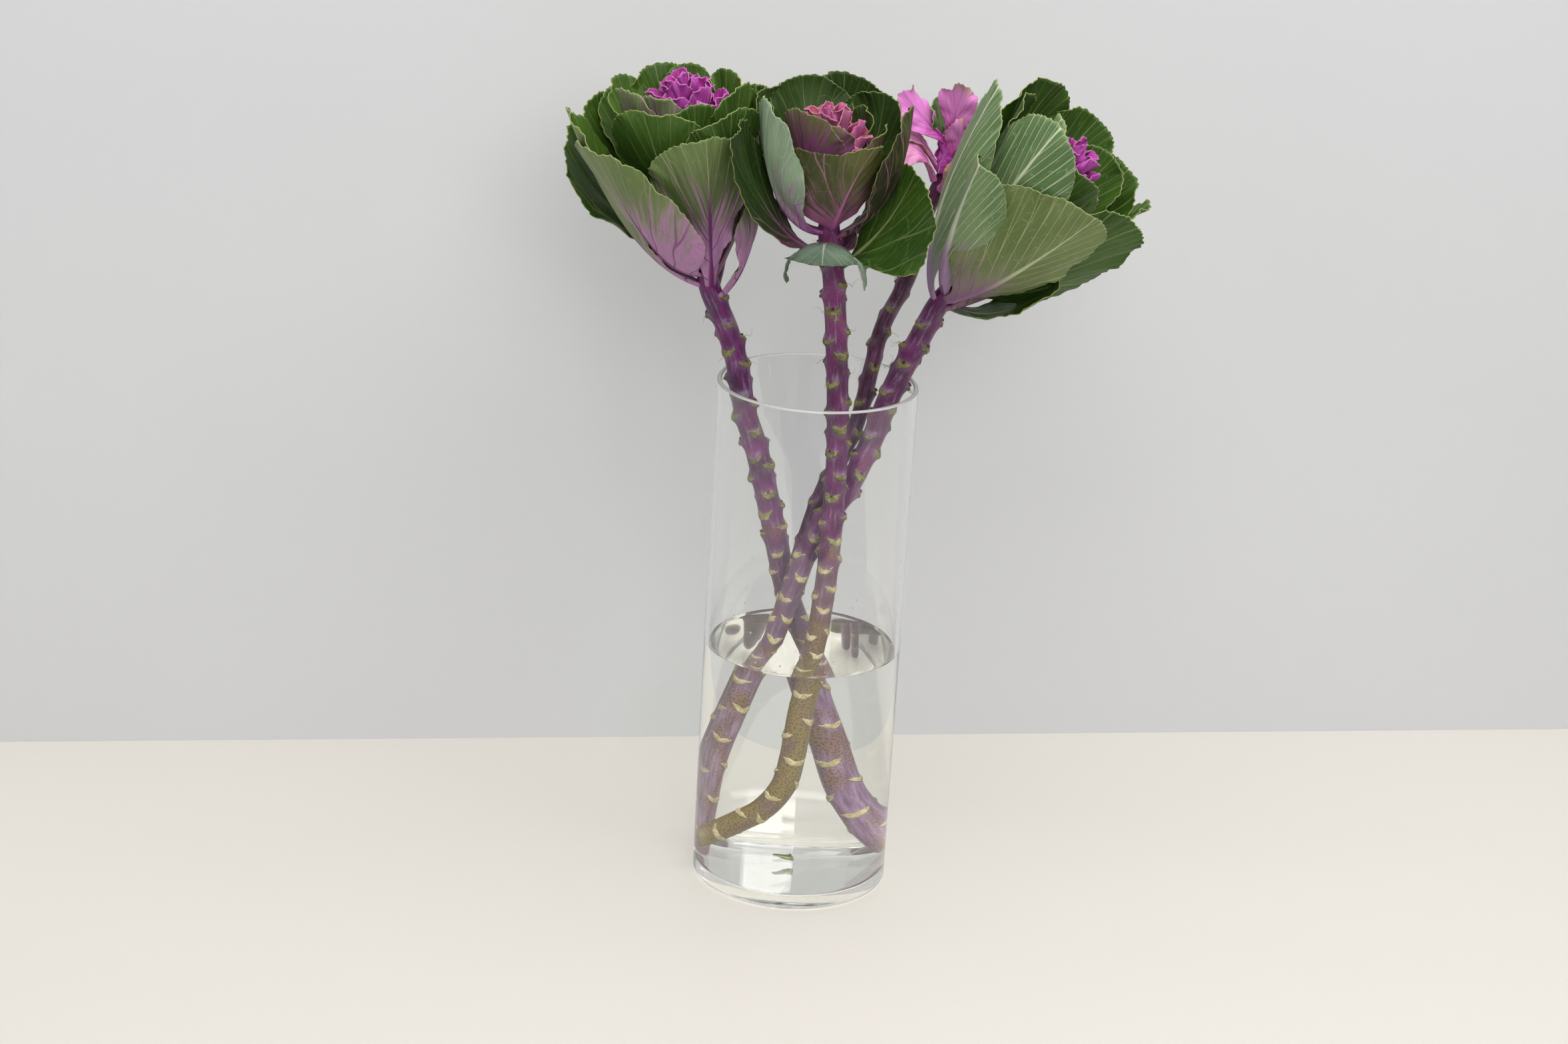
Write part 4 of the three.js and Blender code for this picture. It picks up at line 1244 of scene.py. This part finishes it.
# %% The faces of the petals
PETAL = dict(veins=11.0, spread=0.35)
LEAF_LOOKS["petal"] = (
    leaf_look("orchid petal outer face", "cf4fb0", "e58fd2", "96408a", "cd86bb", "a9825e", True,
              strength=0.45, net=0.12, end=("c3a07c", 1.02), **PETAL),
    leaf_look("orchid petal inner face", "c240aa", "ea93dc", "9a3a8c", "d08cc4", "a9825e", False,
              strength=0.4, net=0.12, end=("b8946e", 1.1), **PETAL),
)
LEAF_LOOKS["tipped"] = (
    leaf_look("tipped petal outer face", "cb4fae", "dd86c9", "96408a", "c877b3", "8f7040", True,
              strength=0.55, net=0.15, end=("b39a80", 1.0), **PETAL),
    leaf_look("tipped petal inner face", "b82f9e", "e084cf", "8f2f82", "c874b8", "8f7040", False,
              strength=0.5, net=0.15, end=("b08a8c", 1.05), **PETAL),
)
LEAF_LOOKS["faded"] = (
    leaf_look("faded petal outer face", "c874b4", "d9a98f", "a35a94", "c796a6", "94803f", True,
              strength=0.5, net=0.12, end=("a7985c", 0.95), **PETAL),
    leaf_look("faded petal inner face", "cf5cb4", "e39ac6", "a04a92", "cf90b8", "a5875a", False,
              strength=0.45, net=0.12, end=("b59a6c", 0.95), **PETAL),
)

# %% [markdown]
# ## The four heads
# Each head has its own list of leaves, from about the lowest seat up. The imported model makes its
# leaves in the same order and from the same numbers, but for seven that were reshaped here:
# left 6 and 8, middle 8, and the thin stem's 3, 4, 8 and 9. The leaves marked inner stand round
# the heart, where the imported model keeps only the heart's lobed dome.
#
# The left head is the largest. Its leaves are green with purple stalks, and seven small ones
# stand round its heart.

# %% The left head's leaves
LEAVES = {}
LEAVES["left"] = [
    dict(turn=340, seat=-8, rise=(26, 10), reach=(46, 40), tip=(50, 78), width=50, cup=50,
         stalk=0.35, full=0.75, look="green", blush=0.85, tone=0.3, cells=48),
    dict(turn=66, seat=-4, rise=(40, 30), reach=(76, 80), tip=(76, 130), width=76, cup=35,
         stalk=0.2, full=0.8, look="deep", blush=0.3, tone=0.7, cells=40),
    dict(turn=188, seat=4, rise=(50, 28), reach=(70, 90), tip=(84, 153), width=72, cup=50,
         look="green", blush=0.35, tone=0.1, cells=48),
    dict(turn=286, seat=4, rise=(24, 36), reach=(56, 92), tip=(66, 138), width=96, cup=42,
         lean=-0.1, full=0.9, look="green", blush=0.6, tone=0.6, cells=64),
    dict(turn=108, seat=4, rise=(44, 30), reach=(80, 84), tip=(84, 134), width=76, cup=35,
         stalk=0.2, full=0.8, look="deep", blush=0.3, tone=0.7, cells=40),
    dict(turn=220, seat=14, rise=(40, 24), reach=(60, 78), tip=(87, 138), width=112, cup=48,
         look="green", blush=0.62, tone=0.2, cells=64, full=0.45, stalk=0, lean=-0.12),
    dict(turn=12, seat=10, rise=(36, 56), reach=(60, 110), tip=(60, 146), width=62, full=0.7,
         look="deep", blush=0.3, tone=0.5),
    dict(turn=152, seat=14, rise=(54, 22), reach=(90, 66), tip=(94, 126), width=84, cup=15,
         lean=0.1, stalk=0.25, full=0.85, look="deep", blush=0.15, tone=0.6, cells=48),
    dict(turn=43, seat=18, rise=(40, 44), reach=(62, 98), tip=(68, 138), width=64, full=0.7,
         look="deep", blush=0.3, tone=0.5),
    dict(turn=305, seat=20, rise=(34, 50), reach=(56, 112), tip=(68, 152), width=84, cup=45,
         full=0.7, look="deep", blush=0.2, tone=0.9, cells=48),
    dict(turn=145, seat=30, rise=(44, 44), reach=(80, 96), tip=(84, 142), width=76, cup=30,
         look="deep", blush=0.2, tone=0.5),
    dict(turn=245, seat=30, rise=(30, 60), reach=(46, 118), tip=(58, 158), width=100, cup=45,
         full=0.7, look="deep", blush=0.45, tone=0.4, cells=56),
    dict(turn=112, seat=34, rise=(34, 64), reach=(54, 118), tip=(60, 158), width=72, cup=45,
         full=0.7, look="deep", blush=0.3, tone=0.5),
    dict(turn=325, seat=36, rise=(26, 70), reach=(46, 124), tip=(56, 163), width=64, cup=45,
         full=0.7, look="deep", blush=0.3, tone=0.5),
    dict(turn=132, seat=44, rise=(40, 70), reach=(74, 110), tip=(84, 142), width=60, cup=30,
         full=0.7, look="deep", blush=0.3, tone=0.5, cells=36, inner=True),
    dict(turn=285, seat=46, rise=(24, 74), reach=(38, 120), tip=(46, 156), width=60, cup=50,
         full=0.7, look="deep", blush=0.3, tone=0.8, cells=40, inner=True),
    dict(turn=143, seat=54, rise=(30, 76), reach=(52, 122), tip=(62, 158), width=52, full=0.7,
         look="deep", blush=0.3, tone=0.3, cells=36, inner=True),
    dict(turn=90, seat=52, rise=(26, 80), reach=(44, 124), tip=(52, 157), width=52, full=0.7,
         look="deep", blush=0.3, tone=0.3, cells=36, inner=True),
    dict(turn=58, seat=42, rise=(30, 72), reach=(50, 118), tip=(58, 150), width=52, full=0.7,
         look="deep", blush=0.3, tone=0.3, cells=36, inner=True),
    dict(turn=222, seat=50, rise=(28, 84), reach=(42, 130), tip=(50, 171), width=52, full=0.7,
         look="green", blush=0.8, tone=0.1, cells=40, inner=True),
    dict(turn=248, seat=58, rise=(24, 88), reach=(38, 130), tip=(45, 166), width=48, cup=50,
         full=0.7, look="green", blush=0.84, tone=0.1, cells=40, inner=True),
]

# %% [markdown]
# The middle head is the smallest of the three green ones and the darkest. One bluish leaf hangs
# over its front, and another leaf droops at its side.

# %% The middle head's leaves
LEAVES["middle"] = [
    dict(turn=350, seat=-28, rise=(26, -14), reach=(50, 14), tip=(62, 54), width=84, cup=-8,
         roll=40, lean=-0.2, stalk=0.15, look="deep", blush=0.1, tone=0.8, cells=56),
    dict(turn=20, seat=-20, rise=(14, -16), reach=(22, -6), tip=(24, 10), width=20, cup=20,
         look="dark", blush=0.9, tone=0.1, cells=24),
    dict(turn=204, seat=-14, rise=(34, -8), reach=(66, 40), tip=(70, 96), width=50, cup=0,
         roll=-45, full=0.8, look="dark", blush=0.4, tone=0.9, cells=52),
    dict(turn=262, seat=-7, rise=(16, 0), reach=(24, 2), tip=(30, -14), width=104, cup=-105,
         full=0.5, look="blue", blush=0.35, tone=0.6, cells=52),
    dict(turn=205, seat=2, rise=(40, 8), reach=(56, 62), tip=(52, 110), width=66, cup=35,
         fold=10, look="blue", blush=0.42, tone=0.3, cells=52),
    dict(turn=82, seat=2, rise=(40, 16), reach=(64, 66), tip=(60, 100), width=88, look="dark",
         blush=0.2, tone=0.5),
    dict(turn=350, seat=-2, rise=(38, 14), reach=(62, 60), tip=(56, 100), width=66, cup=50,
         look="dark", blush=0.2, tone=0.9),
    dict(turn=285, seat=6, rise=(18, 14), reach=(38, 52), tip=(47, 84), width=100, sway=30,
         cup=62, lean=-0.3, full=0.52, blunt=2.1, look="dark", blush=0.45, tone=0.5, cells=64,
         dips=((-150, 26, 0.24),)),
    dict(turn=345, seat=10, rise=(26, 24), reach=(36, 56), tip=(40, 86), width=44, cup=50,
         look="dark", blush=0.75, tone=0.1, cells=40),
    dict(turn=140, seat=8, rise=(40, 24), reach=(58, 66), tip=(58, 98), width=64, cup=35,
         look="dark", blush=0.2, tone=0.5),
    dict(turn=45, seat=12, rise=(38, 26), reach=(54, 66), tip=(52, 94), width=76, look="dark",
         blush=0.2, tone=0.5),
    dict(turn=112, seat=20, rise=(34, 34), reach=(54, 70), tip=(58, 100), width=76, cup=45,
         look="dark", blush=0.2, tone=0.5),
    dict(turn=232, seat=24, rise=(22, 44), reach=(32, 74), tip=(31, 102), width=62, cup=50,
         look="dark", blush=0.85, tone=0.1, cells=48),
    dict(turn=262, seat=34, rise=(18, 50), reach=(28, 76), tip=(30, 93), width=46, cup=50,
         look="dark", blush=0.85, tone=0.1, cells=40, inner=True),
    dict(turn=30, seat=30, rise=(20, 48), reach=(30, 74), tip=(28, 92), width=34, look="dark",
         blush=0.3, tone=0.3, cells=32, inner=True),
]

# %% [markdown]
# The thin stem behind has no green rosette. It carries eight pink petal-like leaves with fine
# teeth and tan ends, and one small green leaf.

# %% The leaves of the thin stem behind
LEAVES["back"] = [
    dict(turn=200, seat=-14, rise=(16, 2), reach=(34, 10), tip=(50, 0), width=30, cup=-20,
         stalk=0.4, full=0.7, look="petal", blush=0.9, tone=0.2, cells=36),
    dict(turn=300, seat=2, rise=(16, 10), reach=(24, 22), tip=(22, 36), width=26, cup=30,
         look="faded", blush=0.4, tone=0.2, cells=36, frill=1.4, teeth=(3.6, 0.03)),
    dict(turn=205, seat=6, rise=(20, 28), reach=(42, 32), tip=(56, 14), width=38, cup=-20,
         roll=-30, look="faded", blush=0.35, tone=0.2, cells=44, frill=1.3, full=0.75,
         teeth=(3.6, 0.03)),
    dict(turn=186, seat=16, rise=(18, 28), reach=(42, 42), tip=(62, 26), width=34, cup=-30,
         roll=-20, stalk=0.3, look="faded", blush=0.35, tone=0.2, cells=44, frill=1.3,
         full=0.75, teeth=(3.6, 0.03)),
    dict(turn=350, seat=20, rise=(18, 30), reach=(34, 44), tip=(44, 54), width=40, cup=20,
         roll=-40, look="petal", blush=0.4, tone=0.2, cells=36, frill=1.4, teeth=(3.6, 0.03)),
    dict(turn=150, seat=26, rise=(14, 40), reach=(22, 52), tip=(28, 62), width=40, cup=20,
         look="pale", blush=0.1, tone=0.2, cells=40),
    dict(turn=280, seat=28, rise=(12, 34), reach=(18, 46), tip=(20, 62), width=30, cup=20,
         look="petal", blush=0.4, tone=0.2, cells=36, frill=1.4, teeth=(3.6, 0.03)),
    dict(turn=190, seat=34, rise=(16, 40), reach=(38, 50), tip=(54, 60), width=38, cup=-30,
         roll=-50, look="tipped", blush=0.35, tone=0.2, cells=44, frill=1.3, full=0.85,
         dips=((150, 12, 0.16), (-165, 10, 0.12)), teeth=(3.6, 0.03)),
    dict(turn=240, seat=42, rise=(14, 46), reach=(22, 66), tip=(22, 84), width=40, cup=-30,
         look="tipped", blush=0.35, tone=0.2, cells=44, frill=1.3, full=0.85,
         dips=((155, 10, 0.14), (-150, 12, 0.18)), teeth=(3.6, 0.03)),
]

# %% [markdown]
# The right head leans far over and shows the pale outer faces of its front leaves, with bold
# veins. Two of them are moved a little outwards, because others lie close behind.

# %% The right head's leaves
LEAVES["right"] = [
    dict(turn=335, seat=0, rise=(24, 30), reach=(44, 92), tip=(66, 152), width=76, cup=20,
         roll=-50, look="deep", blush=0.2, tone=0.9, cells=56),
    dict(turn=190, seat=2, rise=(38, 22), reach=(72, 90), tip=(86, 168), width=84, cup=36,
         look="pale", blush=0.3, tone=0.3, cells=60, frill=0.7),
    dict(turn=286, seat=8, rise=(30, 36), reach=(52, 96), tip=(64, 150), width=104, cup=35,
         lean=-0.35, look="olive", blush=0.32, tone=0.25, cells=64, frill=0.7, out=2.2),
    dict(turn=350, seat=4, rise=(34, 8), reach=(54, 40), tip=(54, 80), width=50, cup=20,
         look="deep", blush=0.1, tone=0.9, cells=36),
    dict(turn=42, seat=8, rise=(44, 40), reach=(68, 110), tip=(72, 157), width=80, cup=30,
         look="deep", blush=0.1, tone=0.7, cells=44),
    dict(turn=222, seat=12, rise=(34, 26), reach=(76, 84), tip=(98, 130), width=70, fold=30,
         look="pale", blush=0.4, tone=0.3, cells=60, frill=0.6, out=0.6),
    dict(turn=119, seat=14, rise=(40, 50), reach=(62, 120), tip=(66, 172), width=84, cup=30,
         look="deep", blush=0.1, tone=0.7, cells=44),
    dict(turn=232, seat=22, rise=(34, 44), reach=(66, 120), tip=(74, 184), width=88, cup=45,
         look="pale", blush=0.35, tone=0.5, cells=60, frill=0.7),
    dict(turn=15, seat=24, rise=(34, 50), reach=(58, 104), tip=(76, 154), width=64, cup=20,
         roll=-30, look="deep", blush=0.15, tone=0.5, cells=48),
    dict(turn=78, seat=26, rise=(40, 60), reach=(60, 124), tip=(64, 168), width=76, cup=30,
         look="deep", blush=0.1, tone=0.7, cells=44),
    dict(turn=152, seat=30, rise=(34, 60), reach=(54, 120), tip=(56, 164), width=50, cup=30,
         look="deep", blush=0.1, tone=0.7, cells=44),
    dict(turn=50, seat=40, rise=(36, 70), reach=(54, 120), tip=(58, 157), width=70, look="deep",
         blush=0.1, tone=0.7, cells=44),
    dict(turn=266, seat=56, rise=(30, 86), reach=(42, 126), tip=(46, 164), width=66, cup=50,
         look="deep", blush=0.35, tone=0.5, cells=48),
    dict(turn=200, seat=66, rise=(24, 94), reach=(34, 140), tip=(34, 176), width=40,
         look="pale", blush=0.1, tone=0, cells=36, inner=True),
]

# %% Growing all the leaves
for place, rows in LEAVES.items():
    for index, leaf in enumerate(rows):
        inner_leaf = leaf.pop("inner", False)
        name = f"leaf_{place}_{index + 1:02d}"
        seed = 100 * list(LEAVES).index(place) + 7 * index + 1
        grown = grow_leaf(f"{name}_blade", head_frame(place), leaf, seed)
        slot = "pink_leaf" if place == "back" else "leaf"
        if inner_leaf:
            seat(grown, slot)
        else:
            seat(grown, slot, name)
    print("head", place, "has", len(rows), "leaves")

# %% [markdown]
# A torn scrap of leaf lies on the floor of the vase, under the water.

# %% A scrap of leaf
SCRAP = dict(turn=190, seat=0.2, rise=(7, 0.4), reach=(11, 0.8), tip=(14, 1.6), width=6, cup=30,
             stalk=0, full=0.3, frill=0.15, blush=0.1, tone=0.2, cells=16)
SCRAP_PLACE = np.array([6, 26, FLOOR + 0.8])
right, back, up = np.eye(3)
scrap = grow_leaf("scrap_of_leaf", (SCRAP_PLACE, up, right, back), SCRAP, 5)
seat(scrap, "leaf")
print("the scrap of leaf lies at", SCRAP_PLACE)

# %% [markdown]
# Fine droplets cling to the inside of the glass just above the water. One small ball is copied.

# %% Droplets
DROPLETS = 60
SMALLEST, LARGEST = 0.25, 0.8
DRY_BAND, MOSTLY_WITHIN = 2, 9
SUNK_SHARE = 0.25
bead = start(bpy.ops.mesh.primitive_uv_sphere_add, "droplet", segments=6, ring_count=4, radius=1)
round_bead = points_of(bead)
bead.data.materials.append(water.data.materials[0])
bpy.ops.object.shade_smooth()
droplets = []
for index in range(DROPLETS):
    copy = own_copy(bead)
    around = chance.uniform(0, 2 * math.pi)
    size = chance.uniform(SMALLEST, LARGEST)
    height = WATER_LEVEL + DRY_BAND + chance.exponential(MOSTLY_WITHIN)
    reach = inner - SUNK_SHARE * size
    on_glass = np.array([reach * math.cos(around), reach * math.sin(around), height])
    set_points(copy, on_glass + round_bead * size * [1, 1, chance.uniform(0.9, 1.4)])
    droplets.append(copy)
bpy.data.objects.remove(bead)
seat(join(droplets, "droplets_on_glass"), "water")
print("droplets:", len(droplets))

# %% [markdown]
# ## The hearts
# The heart of ornamental kale is a rosette of frilled leaflets. Each is a short, wide leaf, so the
# same recipe grows it. The leaflets sit in rings, each ring turned against the one outside it:
# the outer ones wide and open, the inner ones narrow and upright, with their tips on a dome.

# %% The looks of the leaflets
LEAFLET = dict(veins=12.0, rise=(0.0, 1.2), strength=0.3, net=0.1, spread=0.4)
LEAF_LOOKS["magenta"] = (
    leaf_look("magenta leaflet outer face", "9a2f90", "cb58bd", "d386c8", "dc96d0", "d795c6", True,
              dark="9c2c8e", **LEAFLET),
    leaf_look("magenta leaflet inner face", "7d1263", "bb3aa4", "c567b8", "d98fcd", "d795c6", False,
              dark="86196e", **LEAFLET),
)
LEAF_LOOKS["rose"] = (
    leaf_look("rose leaflet outer face", "943a74", "bf609b", "cf8ab6", "d9a0c2", "d393a6", True,
              dark="9c5668", **LEAFLET),
    leaf_look("rose leaflet inner face", "8a2450", "c65a8c", "cf8ab6", "d9a0c2", "d393a6", False,
              dark="ae5560", **LEAFLET),
)

# %% Growing a heart
HEARTS = {
    # place: look, and for each tier its leaflets, radius, height of the tips and width
    "left": ("magenta", ((7, 44, 126, 50), (7, 37, 138, 46), (6, 29, 149, 38), (5, 21, 158, 30),
                         (4, 12, 164, 22), (3, 5, 167, 14))),
    "middle": ("rose", ((6, 27, 70, 32), (6, 24, 79, 32), (5, 20, 87, 28), (5, 12, 94, 22),
                        (3, 5, 98, 14))),
    "back": ("magenta", ((3, 10, 44, 18), (3, 7, 52, 16), (3, 4, 58, 12))),
    "right": ("magenta", ((6, 31, 128, 36), (6, 26, 142, 32), (5, 19, 153, 26), (4, 12, 162, 20),
                          (3, 5, 167, 12))),
}


TIP_SHIFT, TIP_LIFT, SEAT_BELOW = 1.5, 2, 26


def grow_heart(place):
    look, tiers = HEARTS[place]
    made = []
    for tier, (count, radius, height, width) in enumerate(tiers):
        for index in range(count):
            tip_r = radius + chance.uniform(-TIP_SHIFT, TIP_SHIFT)
            tip_z = height + chance.uniform(-TIP_LIFT, TIP_LIFT)
            seat_z = height - SEAT_BELOW - radius * 0.4
            leaflet = dict(
                turn=360 * (index + tier * 0.5) / count + chance.uniform(-9, 9), seat=seat_z,
                rise=(tip_r * 0.7, seat_z + 5), reach=(tip_r * 0.86, tip_z - 12),
                tip=(tip_r + 3, tip_z), width=width, cup=52 + 6 * tier, full=0.7, frill=1.8,
                cells=26, teeth=(3.4, 0.026), look=look, blush=0.3,
                tone=chance.uniform(0.1, 0.6))
            seed = 900 + 97 * tier + 11 * index
            name = f"leaflet_{place}_{tier}_{index}"
            made.append(grow_leaf(name, head_frame(place), leaflet, seed))
    return join(made, f"heart_{place}_rosette")


for place in HEARTS:
    rosette = grow_heart(place)
    seat(rosette, "heart", f"heart_{place}")
    print("heart", place, "has", len(rosette.data.polygons), "faces")

# %% [markdown]
# ## Light, floor and camera
# A pale floor and a light grey wall close behind it stand for the place where the vase was set,
# and nothing else of it is kept. Both are plain planes. The wall stands so close that it would
# hide the vase from every place behind it, so the backs of both planes are see-through. The light
# is soft and comes from nearly everywhere, with more from above and in front. The camera stands
# where the real one stood, as near as a fit to the vase's two rims can tell: a little over two
# metres away, above the rim, tilted down and leaning slightly to one side.

# %% Floor and wall
def plain_look(name, first, second, roughness):
    """A pale, faintly uneven surface. Its back lets a view from behind through to the object."""
    look = Look(name)
    tone = look.noise(look.place(), 3.5, 3)
    look.set(base_color=look.blend(tone, shade(first), shade(second)), roughness=roughness)
    choice = look.node("ShaderNodeMixShader")
    look.put(choice.inputs[0], look.node("ShaderNodeNewGeometry").outputs["Backfacing"])
    look.put(choice.inputs[1], look.surface.outputs[0])
    look.put(choice.inputs[2], look.node("ShaderNodeBsdfTransparent").outputs[0])
    look.put(look.tree.nodes["Material Output"].inputs[0], choice.outputs[0])
    return look.material


WALL_POINT = np.array([-0.009, 0.26, -0.0004])
WALL_TURN = math.radians(9.5)
away = np.array([-math.sin(WALL_TURN), math.cos(WALL_TURN), 0])
FLOOR_REACH, FLOOR_STRETCH = 1.1, 3
WALL_SIZE, WALL_SUNK = 8, 0.1
floor = start(bpy.ops.mesh.primitive_plane_add, "floor", size=FLOOR_REACH,
              location=WALL_POINT - FLOOR_REACH / 2 * away, rotation=(0, 0, WALL_TURN))
floor.scale.x = FLOOR_STRETCH
floor.data.materials.append(plain_look("pale floor", "e1dcd5", "ddd8d0", 0.5))
wall = start(bpy.ops.mesh.primitive_plane_add, "wall", size=WALL_SIZE,
             location=WALL_POINT + [0, 0, WALL_SIZE / 2 - WALL_SUNK],
             rotation=(math.radians(90), 0, WALL_TURN))
wall.data.materials.append(plain_look("light wall", "dadbdc", "d5d6d7", 0.7))
print("the floor's far edge is", round(WALL_POINT[1] / MM), "mm behind the vase's middle")

# %% Light
SKY_TINT, SKY_STRENGTH = (0.86, 0.92, 1, 1), 0.3
world = bpy.data.worlds.new("soft daylight")
world.use_nodes = True
world.node_tree.nodes["Background"].inputs[0].default_value = SKY_TINT
world.node_tree.nodes["Background"].inputs[1].default_value = SKY_STRENGTH
bpy.context.scene.world = world


def lamp(name, place, target, size, watts, tint):
    """A rectangle of light that faces its target."""
    data = bpy.data.lights.new(name, "AREA")
    data.shape = "RECTANGLE"
    data.size, data.size_y = size
    data.energy = watts
    data.color = tint
    made = bpy.data.objects.new(name, data)
    bpy.context.collection.objects.link(made)
    made.location = place
    x, y, z = np.subtract(target, place)
    tilt = math.atan2(math.hypot(x, y), -z)
    made.rotation_euler = (tilt, 0, math.atan2(y, x) - math.pi / 2)
    print(name, "gives", watts, "watts")


lamp("ceiling light", (0.35, -0.9, 2.6), (0, 0, 0.3), (3.2, 2.2), 66, (1, 0.98, 0.95))
lamp("front light", (0.6, -3.0, 1.9), (0, 0, 0.4), (1.6, 1.2), 32, (1, 0.98, 0.96))

# %% Camera
SENSOR, LENS = 36, 72.28
CAMERA_PLACE = (-0.0191, -2.2395, 1.085)
DOWN, LEANING = math.radians(19.597), math.radians(3.356)
camera = bpy.data.objects.new("camera", bpy.data.cameras.new("camera"))
bpy.context.collection.objects.link(camera)
camera.data.sensor_width = SENSOR
camera.data.lens = LENS
forward = np.array([0, math.cos(DOWN), -math.sin(DOWN)])
upward = np.array([0, math.sin(DOWN), math.cos(DOWN)])
sideways = np.array([1.0, 0, 0])
camera_right = math.cos(LEANING) * sideways + math.sin(LEANING) * upward
camera_up = math.cos(LEANING) * upward - math.sin(LEANING) * sideways
matrix = np.eye(4)
matrix[:3, 0], matrix[:3, 1], matrix[:3, 2] = camera_right, camera_up, -forward
matrix[:3, 3] = CAMERA_PLACE
camera.matrix_world = Matrix(matrix.tolist())
bpy.context.scene.camera = camera
print("the camera stands", round(float(np.linalg.norm(CAMERA_PLACE)), 2), "m from the vase's foot")

# %% [markdown]
# Light goes through the glass wall, the water and the wall again before it reaches the eye, so
# the rays through clear pieces are followed further than usual. The plain view transform keeps
# colours as they were set.

# %% Rays and tones
GLASS_BOUNCES = 24
bpy.context.scene.view_settings.view_transform = "Standard"
cycles = bpy.context.scene.cycles
cycles.adaptive_threshold = 0.03
cycles.diffuse_bounces = 2
for kind in ("max", "glossy", "transmission"):
    setattr(cycles, f"{kind}_bounces", GLASS_BOUNCES)
cycles.transparent_max_bounces = 32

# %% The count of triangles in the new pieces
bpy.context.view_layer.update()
pieces = [piece for piece in bpy.data.objects
          if piece.type == "MESH" and not piece.get("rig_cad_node")]
triangles = sum(len(face.vertices) - 2 for piece in pieces for face in piece.data.polygons)
print("triangles in the pieces:", triangles)
